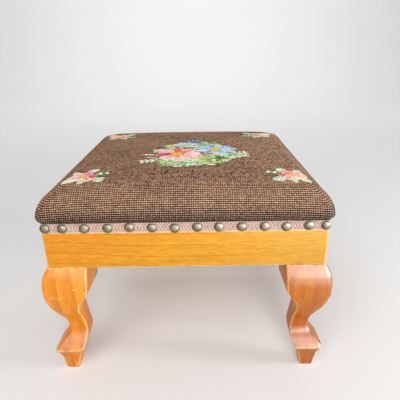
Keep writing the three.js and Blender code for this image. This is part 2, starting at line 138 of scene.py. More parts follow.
class Signal:
    """One number in a material's node tree, which adds and multiplies as plain numbers do."""

    def __init__(self, sheet: "NodeSheet", socket: bpy.types.NodeSocket) -> None:
        """Keeps the socket and the sheet that it is on."""
        self.sheet = sheet
        self.socket = socket

    def combine(self, operation: str, first: Feed, second: Feed = 0.0) -> "Signal":
        """Adds a Math node.

        Args:
            operation: Blender's name of the sum.
            first: Its first number.
            second: Its second number.

        Returns:
            The result.
        """
        node = self.sheet.node("ShaderNodeMath", operation=operation)
        self.sheet.feed(node.inputs[0], first)
        self.sheet.feed(node.inputs[1], second)
        return Signal(self.sheet, node.outputs[0])

    def __add__(self, other: Feed) -> "Signal":
        """Sum."""
        return self.combine("ADD", self, other)

    __radd__ = __add__

    def __sub__(self, other: Feed) -> "Signal":
        """Difference."""
        return self.combine("SUBTRACT", self, other)

    def __rsub__(self, other: Feed) -> "Signal":
        """Difference from a plain number."""
        return self.combine("SUBTRACT", other, self)

    def __mul__(self, other: Feed) -> "Signal":
        """Product."""
        return self.combine("MULTIPLY", self, other)

    __rmul__ = __mul__

    def __truediv__(self, other: Feed) -> "Signal":
        """Quotient."""
        return self.combine("DIVIDE", self, other)

    def __pow__(self, other: Feed) -> "Signal":
        """Power."""
        return self.combine("POWER", self, other)

    def size(self) -> "Signal":
        """The number without its sign."""
        return self.combine("ABSOLUTE", self)

    def part(self) -> "Signal":
        """What is left above the whole number below."""
        return self.combine("FRACT", self)

    def whole(self) -> "Signal":
        """The whole number below."""
        return self.combine("FLOOR", self)

    def at_least(self, low: Feed) -> "Signal":
        """The larger of this and low."""
        return self.combine("MAXIMUM", self, low)

    def at_most(self, high: Feed) -> "Signal":
        """The smaller of this and high."""
        return self.combine("MINIMUM", self, high)

    def step(self, low: float, high: float) -> "Signal":
        """Smooth rise from 0 at low to 1 at high, or a fall where low is the larger.

        Args:
            low: Value that gives 0.
            high: Value that gives 1.

        Returns:
            The graded number.
        """
        node = self.sheet.node("ShaderNodeMapRange", interpolation_type="SMOOTHSTEP")
        self.sheet.feed(node.inputs["Value"], self)
        ends = (low, high, 0.0, 1.0) if low < high else (high, low, 1.0, 0.0)
        for name, end in zip(("From Min", "From Max", "To Min", "To Max"), ends):
            node.inputs[name].default_value = end
        return Signal(self.sheet, node.outputs["Result"])


class NodeSheet:
    """The node tree of one material, with short calls for the nodes that the finishes use."""

    def __init__(self, name: str) -> None:
        """Starts a material of that name with its surface shader."""
        self.material = bpy.data.materials.new(name)
        self.material.use_nodes = True
        self.tree = self.material.node_tree
        self.surface = self.tree.nodes["Principled BSDF"]

    def node(self, kind: str, **settings: Union[str, bool]) -> bpy.types.Node:
        """Adds a node.

        Args:
            kind: Blender's name of the node.
            **settings: Its settings by name.

        Returns:
            The node.
        """
        made = self.tree.nodes.new(kind)
        for name, value in settings.items():
            setattr(made, name, value)
        return made

    def feed(self, socket: bpy.types.NodeSocket, value: Feed) -> None:
        """Links a signal or a socket to a socket, or sets its plain value.

        Args:
            socket: The socket.
            value: What it gets.
        """
        if isinstance(value, Signal):
            value = value.socket
        if isinstance(value, bpy.types.NodeSocket):
            self.tree.links.new(value, socket)
        else:
            socket.default_value = value

    def place(self) -> bpy.types.NodeSocket:
        """The point of the surface in the object's own coordinates."""
        return self.node("ShaderNodeTexCoord").outputs["Object"]

    def laid_out(self, name: str) -> bpy.types.NodeSocket:
        """The point of the surface in the UV map of that name."""
        return self.node("ShaderNodeUVMap", uv_map=name).outputs["UV"]

    def attribute(self, name: str) -> bpy.types.Node:
        """The node that reads an attribute of the mesh."""
        return self.node("ShaderNodeAttribute", attribute_type="GEOMETRY", attribute_name=name)

    def strength(self, name: str) -> Signal:
        """An attribute of one number."""
        return Signal(self, self.attribute(name).outputs["Fac"])

    def split(self, vector: bpy.types.NodeSocket) -> list[Signal]:
        """The three numbers of a vector."""
        node = self.node("ShaderNodeSeparateXYZ")
        self.feed(node.inputs[0], vector)
        return [Signal(self, output) for output in node.outputs]

    def join(self, *numbers: Feed) -> bpy.types.NodeSocket:
        """A vector of up to three numbers."""
        node = self.node("ShaderNodeCombineXYZ")
        for socket, number in zip(node.inputs, numbers):
            self.feed(socket, number)
        return node.outputs[0]

    def noise(self, vector: Feed, scale: float, detail: float = 2.0, roughness: float = 0.5) -> Signal:
        """Soft noise about 0.5.

        Args:
            vector: Where it is read.
            scale: Cells to the unit.
            detail: Number of finer layers.
            roughness: Weight of the finer layers.

        Returns:
            The noise.
        """
        node = self.node("ShaderNodeTexNoise", noise_dimensions="3D")
        self.feed(node.inputs["Vector"], vector)
        for name, value in (("Scale", scale), ("Detail", detail), ("Roughness", roughness)):
            node.inputs[name].default_value = value
        return Signal(self, node.outputs[0])

    def chance(self, *numbers: Feed) -> Signal:
        """A random number from 0 to 1 for each set of whole numbers."""
        node = self.node("ShaderNodeTexWhiteNoise", noise_dimensions="3D")
        self.feed(node.inputs["Vector"], self.join(*numbers))
        return Signal(self, node.outputs["Value"])

    def blend(self, share: Feed, low: Feed, high: Feed, mode: str = "MIX") -> bpy.types.NodeSocket:
        """Blends two colours.

        Args:
            share: How much of the second one, from 0 to 1.
            low: The first colour.
            high: The second colour.
            mode: Blender's name of the way to blend.

        Returns:
            The blended colour.
        """
        node = self.node("ShaderNodeMix", data_type="RGBA", blend_type=mode)
        for socket, value in zip((node.inputs[0], node.inputs[6], node.inputs[7]), (share, low, high)):
            self.feed(socket, value)
        return node.outputs[2]

    def shaded(self, colour: Feed, level: Signal) -> bpy.types.NodeSocket:
        """A colour made lighter or darker, 1 leaving it as it is."""
        return self.blend(1.0, colour, self.join(level, level, level), "MULTIPLY")

    def relief(self, height: Signal, depth: float, under: Optional[Feed] = None) -> bpy.types.NodeSocket:
        """Bump from a height.

        Args:
            height: The height, from 0 to 1.
            depth: Its real size in metres.
            under: The normal that it adds to.

        Returns:
            The bumped normal.
        """
        node = self.node("ShaderNodeBump")
        node.inputs["Distance"].default_value = depth
        self.feed(node.inputs["Height"], height)
        if under is not None:
            self.feed(node.inputs["Normal"], under)
        return node.outputs[0]

    def finish(
        self, colour: Feed, roughness: Feed, normal: Optional[Feed] = None,
        extra: Optional[dict[str, Feed]] = None,
    ) -> bpy.types.Material:
        """Feeds the surface shader.

        Args:
            colour: Base colour.
            roughness: Roughness.
            normal: Normal, where the finish has relief.
            extra: Values of other sockets by name.

        Returns:
            The finished material.
        """
        self.feed(self.surface.inputs["Base Color"], colour)
        self.feed(self.surface.inputs["Roughness"], roughness)
        if normal is not None:
            self.feed(self.surface.inputs["Normal"], normal)
        for name, value in (extra or {}).items():
            self.feed(self.surface.inputs[name], value)
        return self.material


def add_piece(
    name: str, mesh: bpy.types.Mesh, material: bpy.types.Material, nodes: Sequence[str],
    smooth_angle: float = 40.0,
) -> bpy.types.Object:
    """Adds a finished mesh to the scene as a piece of the stool.

    Args:
        name: Name of the piece.
        mesh: Its mesh, with its place in its points.
        material: Its finish.
        nodes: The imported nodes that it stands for.
        smooth_angle: Edges sharper than this stay crisp, in degrees.

    Returns:
        The piece.
    """
    mesh.materials.clear()
    mesh.materials.append(material)
    mesh.shade_smooth()
    mesh.set_sharp_from_angle(angle=math.radians(smooth_angle))
    piece = bpy.data.objects.new(name, mesh)
    bpy.context.scene.collection.objects.link(piece)
    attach(piece, BODY)
    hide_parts(*nodes)
    LOG.info("%s: %d faces, in place of %s", name, len(mesh.polygons), ", ".join(nodes))
    return piece


def to_mesh(shape: bmesh.types.BMesh, name: str) -> bpy.types.Mesh:
    """Writes a bmesh to a new mesh and frees it.

    Args:
        shape: The bmesh.
        name: Name of the mesh.

    Returns:
        The mesh.
    """
    mesh = bpy.data.meshes.new(name)
    shape.to_mesh(mesh)
    shape.free()
    return mesh


def open_edges(shape: bmesh.types.BMesh) -> list[bmesh.types.BMEdge]:
    """The edges with a face on one side only."""
    return [edge for edge in shape.edges if edge.is_boundary]


def grid_steps(shape: bmesh.types.BMesh, columns: int, rows: int) -> tuple[np.ndarray, np.ndarray]:
    """Adds a grid to an empty shape.

    Args:
        shape: The shape.
        columns: Number of columns of faces.
        rows: Number of rows of faces.

    Returns:
        The column and the row of each of its points.
    """
    bmesh.ops.create_grid(shape, x_segments=columns, y_segments=rows, size=1)
    shape.verts.index_update()
    flat = np.array([vert.co for vert in shape.verts])
    column, row = (
        np.round((flat[:, axis] + 1) / 2 * count).astype(int) for axis, count in ((0, columns), (1, rows))
    )
    return column, row


def move_points(shape: bmesh.types.BMesh, points: np.ndarray) -> None:
    """Moves the points of a shape, one row each."""
    for vert, point in zip(shape.verts, points):
        vert.co = point


def lay_out(shape: bmesh.types.BMesh, name: str, places: np.ndarray) -> None:
    """Gives a shape a UV map.

    Args:
        shape: The shape.
        name: Name of the map.
        places: The place of each point on the map, one row each.
    """
    layer = shape.loops.layers.uv.new(name)
    for face in shape.faces:
        for loop in face.loops:
            loop[layer].uv = places[loop.vert.index]


def cut_away(
    shape: bmesh.types.BMesh, point: Sequence[float], way: Sequence[float], reach: float = 0.01 * MM,
) -> None:
    """Cuts off what lies past a plane.

    Args:
        shape: The shape.
        point: A point of the plane.
        way: Its normal, towards what is cut off.
        reach: Points closer to the plane than this count as on it.
    """
    geometry = shape.verts[:] + shape.edges[:] + shape.faces[:]
    bmesh.ops.bisect_plane(
        shape, geom=geometry, dist=reach, plane_co=point, plane_no=way, clear_outer=True,
    )


def turn_round(shape: bmesh.types.BMesh, quarters: int) -> None:
    """Turns a shape about the stool's upright axis by quarter turns."""
    bmesh.ops.rotate(shape, verts=shape.verts[:], matrix=Matrix.Rotation(quarters * QUARTER, 3, "Z"))


def wrapped(
    columns: int, rows: int, place: Callable[[np.ndarray, np.ndarray], np.ndarray], weld: float = 0.01 * MM,
) -> bmesh.types.BMesh:
    """Wraps a grid into a closed shape: its sides are welded where they meet and its open ends are filled.

    Args:
        columns: Number of columns of faces.
        rows: Number of rows of faces.
        place: Gives the points for arrays of column and row numbers.
        weld: Points closer than this become one.

    Returns:
        The shape, faces outwards.
    """
    shape = bmesh.new()
    move_points(shape, place(*grid_steps(shape, columns, rows)))
    bmesh.ops.remove_doubles(shape, verts=shape.verts[:], dist=weld)
    bmesh.ops.holes_fill(shape, edges=open_edges(shape))
    bmesh.ops.recalc_face_normals(shape, faces=shape.faces[:])
    return shape


def points_of(mesh: bpy.types.Mesh) -> np.ndarray:
    """The points of a mesh, one row each."""
    points = np.empty(len(mesh.vertices) * 3)
    mesh.vertices.foreach_get("co", points)
    return points.reshape(-1, 3)


def set_points(mesh: bpy.types.Mesh, points: np.ndarray) -> None:
    """Moves the points of a mesh."""
    mesh.vertices.foreach_set("co", np.ascontiguousarray(points, np.float32).ravel())
    mesh.update()


def uv_places(mesh: bpy.types.Mesh, name: str) -> np.ndarray:
    """The places of a mesh's face corners on a UV map, one row each."""
    places = np.empty(len(mesh.loops) * 2)
    mesh.uv_layers[name].uv.foreach_get("vector", places)
    return places.reshape(-1, 2)


@dataclass
class PhotoCamera:
    """The camera, at the photo's viewing angle, in metres and degrees."""

    place: tuple[float, float, float] = (0.01759, -0.57081, 0.39345)
    tilt_down: float = 21.258
    turn: float = -0.105
    lean: float = -0.841
    lens: float = 35.64
    sensor: float = 36.0

    def build(self) -> None:
        """Makes the camera and hands it to the scene."""
        data = bpy.data.cameras.new("camera")
        data.lens = self.lens
        data.sensor_width = self.sensor
        data.clip_start = 0.01
        camera = bpy.data.objects.new("camera", data)
        tilt, turn, lean = (math.radians(angle) for angle in (self.tilt_down, self.turn, self.lean))
        ahead = Vector((math.sin(turn) * math.cos(tilt), math.cos(turn) * math.cos(tilt), -math.sin(tilt)))
        level = Vector((math.cos(turn), -math.sin(turn), 0))
        up = level.cross(ahead)
        right = level * math.cos(lean) + up * math.sin(lean)
        top = up * math.cos(lean) - level * math.sin(lean)
        facing = Matrix((right, top, -ahead)).transposed().to_4x4()
        camera.matrix_world = Matrix.Translation(self.place) @ facing
        bpy.context.scene.collection.objects.link(camera)
        bpy.context.scene.camera = camera


class Wool(Enum):
    """Shades of the wool that the canvas is worked in, as displayed colours."""

    BROWN = (144, 104, 72)
    CREAM = (250, 240, 216)
    SHELL = (252, 206, 200)
    ROSE = (240, 138, 152)
    CERISE = (208, 90, 112)
    WINE = (150, 40, 62)
    YELLOW = (252, 204, 60)
    ORANGE = (226, 138, 40)
    ICE = (202, 228, 238)
    SKY = (160, 203, 218)
    BLUE = (104, 152, 182)
    NAVY = (56, 88, 132)
    MINT = (212, 236, 208)
    SAGE = (146, 184, 142)
    LIME = (204, 220, 150)
    LEAF = (130, 174, 84)
    FERN = (74, 116, 62)

    def shade(self) -> Colour:
        """The linear colour."""
        return picture_colour(*self.value)


class WoolPainting:
    """Motifs worked on the canvas, painted stitch by stitch on the faces of the cover.

    Places, lengths and widths are in millimetres on the canvas, from its middle.
    """

    mixing = 0.24
    seed = 11
    streaks = 0.16
    streak_turns = 2.3
    veined_width = 7
    vein_width = 1.5
    vein_end = 0.8
    petal_rounding = 1.9
    bud_rounding = 1.6

    def __init__(self, across: np.ndarray, up: np.ndarray) -> None:
        """Starts with plain brown ground, whose alpha of 0 tells it from the motifs.

        Args:
            across: Place of each face across the canvas.
            up: Place of each face up the canvas.
        """
        self.points = np.stack([across, up], 1)
        self.colours = np.tile(np.array(Wool.BROWN.shade()), (len(across), 1))
        self.colours[:, 3] = 0.0
        self.dither = self.mixing * (np.random.default_rng(self.seed).random(len(across)) - 0.5)

    def work(self, inside: np.ndarray, depth: np.ndarray, shades: Sequence[Wool]) -> None:
        """Fills stitches with a run of shades.

        Args:
            inside: Which stitches are filled.
            depth: Place in the run for each stitch, from 0 to 1.
            shades: The run of shades.
        """
        picked = np.clip((depth + self.dither) * len(shades), 0, len(shades) - 1).astype(int)
        table = np.array([shade.shade() for shade in shades])
        self.colours[inside] = table[picked[inside]]

    def leaf(
        self, foot: Place, tip: Place, width: float, shades: Sequence[Wool], bend: float = 0.0,
        rounding: float = 1.0,
    ) -> None:
        """A leaf or petal, with a vein in a wide leaf and streaks in a petal.

        Args:
            foot: Where it starts.
            tip: Where it ends.
            width: Its full width.
            shades: Shades from its foot and middle to its rim.
            bend: How far its middle bows sideways.
            rounding: 1 for a pointed leaf, more for a blunt petal that is widest near its tip.
        """
        axis = np.subtract(tip, foot)
        length = float(np.hypot(*axis))
        gone = self.points - np.array(foot)
        along = gone @ axis / length**2
        bounded = np.clip(along, 0, 1)
        across = (gone[:, 1] * axis[0] - gone[:, 0] * axis[1]) / length
        across = across - bend * np.sin(math.pi * bounded)
        outline = np.sin(math.pi * bounded**rounding) ** (1 / rounding)
        rim = 2 * abs(across) / width / np.maximum(outline, TINY)
        inside = (along > 0) & (along < 1) & (rim < 1)
        streaks = self.streaks * np.sin(self.streak_turns * across) * (rounding > 1)
        self.work(inside, 0.5 * bounded + 0.5 * rim**2 + streaks, shades)
        if rounding == 1.0 and width > self.veined_width:
            vein = inside & (2 * abs(across) < self.vein_width) & (bounded < self.vein_end)
            self.work(vein, np.zeros_like(bounded), shades[-1:])

    def spot(self, centre: Place, radius: float, shades: Sequence[Wool], flatten: float = 1.0) -> None:
        """A round heart or bud.

        Args:
            centre: Its middle.
            radius: Its half width.
            shades: Shades from its middle to its rim.
            flatten: Its height as a share of its width.
        """
        gone = (self.points - np.array(centre)) / (radius, radius * flatten)
        rim = np.hypot(gone[:, 0], gone[:, 1])
        self.work(rim < 1, rim, shades)

    def flower(
        self, centre: Place, radius: float, petals: int, start: float, shades: Sequence[Sequence[Wool]],
        gaps: Sequence[Wool], heart: float, plump: float,
    ) -> None:
        """An open flower with its heart.

        Args:
            centre: Its middle.
            radius: Length of its petals.
            petals: Their number.
            start: Direction of the first one, in degrees.
            shades: One run of shades for each petal in turn, used round and round.
            gaps: Shades that show between the petals.
            heart: Radius of the heart.
            plump: Width of a petal as a share of its place on the rim.
        """
        gap_share, widest_share, unevenness = 0.7, 0.62, 0.07
        self.spot(centre, gap_share * radius, gaps)
        width = plump * 2 * math.pi * radius * widest_share / petals
        for petal in range(petals):
            angle = math.radians(start + 360 * petal / petals)
            reach = radius * (1 + unevenness * math.sin(5 * petal + start))
            tip = (centre[0] + reach * math.cos(angle), centre[1] + reach * math.sin(angle))
            self.leaf(centre, tip, width, shades[petal % len(shades)], rounding=self.petal_rounding)
        self.spot(centre, heart, (Wool.ORANGE, Wool.YELLOW, Wool.YELLOW, Wool.ORANGE))

    def sprig(self, foot: Place, tip: Place, pairs: int, shades: Sequence[Wool]) -> None:
        """A thin stem with pairs of small leaves and one at its tip.

        Args:
            foot: Where it starts.
            tip: Where it ends.
            pairs: Number of pairs.
            shades: Shades of its leaves.
        """
        stem_width, side_width, end_width = 2.4, 3.6, 4.2
        self.leaf(foot, tip, stem_width, (Wool.MINT,))
        axis = np.subtract(tip, foot)
        side = np.array([-axis[1], axis[0]])
        for pair in range(pairs):
            root = np.add(foot, axis * (0.35 + 0.55 * pair / max(pairs - 1, 1)))
            for hand in (-1, 1):
                end = root + 0.26 * axis + hand * 0.3 * side
                self.leaf(tuple(root), tuple(end), side_width, shades)
        start, end = (tuple(np.add(foot, share * axis)) for share in (0.82, 1.12))
        self.leaf(start, end, end_width, shades)

    def foliage(
        self, centre: Place, spread: Place, count: int, length: float, runs: Sequence[Sequence[Wool]],
    ) -> None:
        """A tuft of small leaves that point outwards over a plain heap.

        Args:
            centre: Its middle.
            spread: Its half width and half height.
            count: Number of leaves.
            length: Their length.
            runs: Shades of the leaves in turn.
        """
        heap_share, golden_turn, slimness, bow = 0.9, 2.4, 0.42, 0.08
        self.spot(centre, heap_share * spread[0], runs[0][:1], spread[1] / spread[0])
        for leaf in range(count):
            angle = golden_turn * leaf + 0.3 * math.sin(7 * leaf)
            reach = math.sqrt((leaf + 0.5) / count)
            across, up = spread[0] * reach * math.cos(angle), spread[1] * reach * math.sin(angle)
            foot = (centre[0] + across, centre[1] + up)
            way = angle + 0.7 * math.sin(3.1 * leaf)
            tip = (foot[0] + length * math.cos(way), foot[1] + length * math.sin(way))
            self.leaf(foot, tip, slimness * length, runs[leaf % len(runs)], bow * length * math.sin(leaf))

    def greenery(self) -> None:
        """The leaves about the bouquet."""
        yellowish = (
            (Wool.LEAF, Wool.LIME, Wool.CREAM), (Wool.LIME, Wool.LIME, Wool.CREAM), (Wool.LEAF, Wool.LIME),
        )
        minty = ((Wool.SAGE, Wool.MINT, Wool.CREAM), (Wool.MINT, Wool.CREAM), (Wool.LEAF, Wool.MINT))
        greenish = (
            (Wool.FERN, Wool.LEAF, Wool.LIME), (Wool.LIME, Wool.CREAM), (Wool.LEAF, Wool.LIME, Wool.MINT),
        )
        for foot, tip in (((-42, -42), (-63, -37)), ((-40, -54), (-57, -51)), ((-34, -60), (-46, -60))):
            self.leaf(foot, tip, 3.4, (Wool.MINT, Wool.CREAM))
        for foot, tip in (((-34, -64), (-58, -70)), ((56, -42), (80, -31)), ((58, -52), (80, -44))):
            self.sprig(foot, tip, 3, (Wool.MINT, Wool.CREAM))
        for centre, spread, count, length, runs in (
            ((-19, -72), (11, 12), 25, 13, yellowish), ((-3, -72), (13, 13), 26, 13, minty),
            ((13, -66), (12, 13), 24, 13, minty), ((30, -62), (14, 13), 28, 14, yellowish),
            ((44, -58), (12, 9), 18, 13, greenish), ((62, -42), (12, 8), 13, 11, minty),
            ((-29, -18), (12, 8), 14, 12, minty), ((-14, 6), (9, 8), 10, 13, yellowish),
            ((22, 13), (11, 10), 14, 14, minty), ((36, 18), (6, 5), 4, 10, yellowish),
        ):
            self.foliage(centre, spread, count, length, runs)
        for foot, tip in (((-18, -91), (-4, -92)), ((-2, -88), (18, -87)), ((24, -86), (38, -86))):
            self.leaf(foot, tip, 4, (Wool.CREAM,), -1)

    def buds(self) -> None:
        """The buds above the two flowers, and a leaf under them."""
        self.spot((70, 14), 3, (Wool.ORANGE,))
        for foot, tip, width in (((-6, 8), (-22, 16), 13), ((-6, 8), (-10, 28), 14), ((-5, 8), (6, 24), 13)):
            self.leaf(foot, tip, width, (Wool.SKY, Wool.ICE, Wool.ICE, Wool.MINT), rounding=self.bud_rounding)
        for foot, tip, width in (((7, 22), (2, 40), 9), ((9, 22), (11, 48), 10), ((10, 22), (20, 38), 9)):
            self.leaf(foot, tip, width, (Wool.NAVY, Wool.BLUE, Wool.SKY), rounding=self.bud_rounding)
        self.leaf((-24, 4), (14, -6), 10, (Wool.LEAF, Wool.MINT, Wool.LIME), 5)

    def bouquet(self) -> None:
        """The bouquet of the middle: a pink flower, a blue one, buds and leaves about them."""
        self.greenery()
        self.buds()
        petals = (
            (Wool.SKY, Wool.SKY, Wool.ICE, Wool.ICE), (Wool.BLUE, Wool.SKY, Wool.SKY, Wool.ICE),
            (Wool.SKY, Wool.ICE, Wool.ICE, Wool.CREAM), (Wool.BLUE, Wool.BLUE, Wool.SKY, Wool.ICE),
        )
        self.flower((39, -15), 29, 11, 8, petals, (Wool.NAVY, Wool.BLUE, Wool.BLUE), 8, plump=1.05)
        pale = (Wool.ROSE, Wool.SHELL, Wool.CREAM, Wool.CREAM)
        blush = (Wool.ROSE, Wool.SHELL, Wool.SHELL, Wool.CREAM)
        hot = (Wool.WINE, Wool.CERISE, Wool.CERISE, Wool.ROSE)
        rosy = (Wool.CERISE, Wool.ROSE, Wool.SHELL, Wool.CREAM)
        warm = (Wool.CERISE, Wool.CERISE, Wool.ROSE, Wool.SHELL)
        petals = (pale, rosy, warm, blush, hot, blush, pale, blush)
        self.flower((-13, -40), 33, 8, 4, petals, (Wool.CERISE, Wool.WINE, Wool.ROSE), 9.5, plump=1.15)
        for tip, shades in (((12, -52), (Wool.ROSE, Wool.SHELL)), ((30, -48), (Wool.CERISE, Wool.ROSE))):
            self.leaf((20, -46), tip, 9, shades, rounding=self.bud_rounding)

    def corner_spray(self, centre: Place, hand: int, lift: int, bright: bool) -> None:
        """A small pink flower with leaves about it.

        Args:
            centre: Its middle.
            hand: 1 where its sprig points towards +X, -1 towards -X.
            lift: 1 where its sprig points towards +Y, -1 towards -Y.
            bright: Whether its petals are hot pink, or pale all over.
        """
        def near(across: float, up: float) -> Place:
            """A place given from the flower's middle, turned with the spray."""
            return (centre[0] + hand * across, centre[1] + lift * up)

        self.leaf(near(19, 4), near(32, 4), 5, (Wool.FERN,))
        self.sprig(near(13, 10), near(28, 13), 2, (Wool.MINT, Wool.CREAM))
        self.leaf(near(3, 14), near(17, 27), 11, (Wool.LEAF, Wool.MINT, Wool.CREAM), 2)
        self.leaf(near(-3, 9), near(-14, 21), 10, (Wool.SAGE, Wool.MINT, Wool.SAGE), 2)
        light = (Wool.CREAM, Wool.CREAM, Wool.MINT) if hand > 0 else (Wool.LIME, Wool.LIME, Wool.SAGE)
        self.leaf(near(-8, -6), near(-21, -16), 11, light, -2)
        hot = (Wool.CERISE, Wool.CERISE, Wool.ROSE) if bright else (Wool.ROSE, Wool.SHELL)
        rosy = (Wool.ROSE, Wool.ROSE, Wool.SHELL)
        pale = (Wool.ROSE, Wool.SHELL, Wool.CREAM)
        petals = (hot, rosy, pale, pale, (Wool.SHELL, Wool.CREAM, Wool.CREAM), pale)
        petals = petals if hand * lift > 0 else petals[:1] + petals[:0:-1]
        start = 8 if hand > 0 else 172
        self.flower(centre, 17.5, 6, start, petals, (Wool.CERISE, Wool.ROSE), 4.4, plump=1.2)
        self.spot(near(0, -1), 4.2, (Wool.YELLOW,), 1.9)
        self.leaf(near(15, -3), near(26, -18), 16, (Wool.SAGE, Wool.MINT, Wool.SAGE, Wool.CREAM), 2)
        self.leaf(near(2, -10), near(1, -22), 9, (Wool.LIME, Wool.LIME, Wool.MINT), 1)


@dataclass(frozen=True)
class WorkedWool:
    """Finish of the stitched canvas: slanted wool stitches in rows, with painted shade in the gaps between
    the rows, a painted highlight on the top of each stitch and painted shade towards the hem.
    """

    relief: float = 0.5 * MM
    slant: float = 0.38
    row_half: float = 0.46
    # gap: painted shade in the gaps between the rows. tip: painted highlight on the top of each stitch.
    gap: Colour = picture_colour(46, 16, 8)
    tip: Colour = picture_colour(242, 199, 164)
    # Heights between which painted shade darkens the cover towards the hem, under the curve of its edge.
    painted_shade_bottom: float = 209 * MM
    painted_shade_top: float = 236 * MM
    crown_low: float = 244 * MM
    crown_high: float = 252 * MM

    def stitch(self, sheet: NodeSheet, across: Signal, along: Signal, turn: Signal) -> tuple[Signal, Signal]:
        """One slanted stitch.

        Args:
            sheet: The finish's nodes.
            across: Place across the stitch, from -0.5 to 0.5.
            along: Place along it, from -0.5 to 0.5.
            turn: The stitch's random number.

        Returns:
            Its height and the strands in it, both from 0 to 1.
        """
        slanted = across - self.slant * along
        rowed = 1.0 - (along.size() / self.row_half) ** 2.2
        body = (rowed * (1.0 - 0.9 * (slanted.size() / 0.5) ** 3.5)).at_least(0.0)
        return body, sheet.noise(sheet.join(slanted * 9.0, along * 1.6, turn * 40.0), 1.0, 1.0)

    def material(self) -> bpy.types.Material:
        """Builds the finish, which reads the UV map "canvas" and the colours "wool"."""
        sheet = NodeSheet("worked wool")
        wool = sheet.attribute("wool")
        fine = Signal(sheet, wool.outputs["Alpha"])
        canvas = sheet.laid_out("canvas")
        column, row, _ = sheet.split(canvas)
        wander = sheet.noise(canvas, 0.55, 1.0) - 0.5
        row = row * (fine + 1.0) + 0.3 * wander
        column = column * (fine + 1.0) + 0.7 * wander + 0.3 * sheet.chance(row.whole(), 5.0, fine)
        turn = sheet.chance(column.whole(), row.whole(), fine)
        body, strands = self.stitch(sheet, column.part() - 0.5, row.part() - 0.5, turn)
        height = sheet.split(sheet.place())[2]
        # low: share of the painted shade towards the hem.
        low = height.step(self.painted_shade_top, self.painted_shade_bottom)
        crown = height.step(self.crown_low, self.crown_high) * (1.0 - fine)
        uneven = crown * (turn - 0.5)
        cloud = sheet.noise(canvas, 0.035, 3.0, 0.6)
        streak = sheet.noise(sheet.join(column * 0.045, row * 0.33, 0.0), 1.0, 2.0)
        fleck = sheet.noise(canvas, 0.42, 2.0)
        patches = (0.84 * cloud + 0.44 * streak.step(0.28, 0.72) + 0.76 * fleck - 1.02) * (crown + 1.0)
        level = 0.36 * turn + 0.8 * uneven + patches + 0.34 * (strands - 0.5) + 0.95
        worked = sheet.shaded(wool.outputs["Color"], level)
        # shine: painted highlight on the top of each stitch, stronger towards the hem, where the gaps also
        # widen with painted shade.
        shine = body.step(0.45, 0.9) * (turn * 0.7 + 0.34 + 0.5 * uneven)
        lit = sheet.blend(shine * (0.66 - 0.5 * fine) * (0.6 * low + 1.0), worked, self.tip)
        colour = sheet.blend((body - 0.34 * low).step(0.26, 0.78), self.gap, lit)
        colour = sheet.shaded(sheet.blend(0.68 * fine, colour, worked), 1.0 + 0.42 * fine)
        # Painted shade darkens the cover towards the hem; the crown is made a little lighter.
        colour = sheet.shaded(colour, (1.0 - 0.5 * low) * (1.0 + 0.11 * crown))
        normal = sheet.relief(body + 0.12 * strands, self.relief)
        return sheet.finish(colour, 0.92, normal, {"Specular IOR Level": 0.1})


@dataclass(frozen=True)
class SoftFilling:
    """Finish of the hidden padding: loose cotton or open foam, with painted shade in its pores."""

    name: str
    body: Colour
    # hollow: painted shade in the pores.
    hollow: Colour
    grain: float

    def material(self) -> bpy.types.Material:
        """Builds the finish on the object's own coordinates."""
        sheet = NodeSheet(self.name)
        place = sheet.place()
        cells = sheet.noise(place, self.grain, 4.0, 0.7)
        clumps = sheet.noise(place, self.grain / 9, 2.0)
        colour = sheet.blend(cells.step(0.35, 0.6), self.hollow, self.body)
        colour = sheet.shaded(colour, 0.86 + 0.28 * clumps)
        return sheet.finish(colour, 0.95, sheet.relief(cells + clumps, 1.2 * MM), {"Specular IOR Level": 0.2})


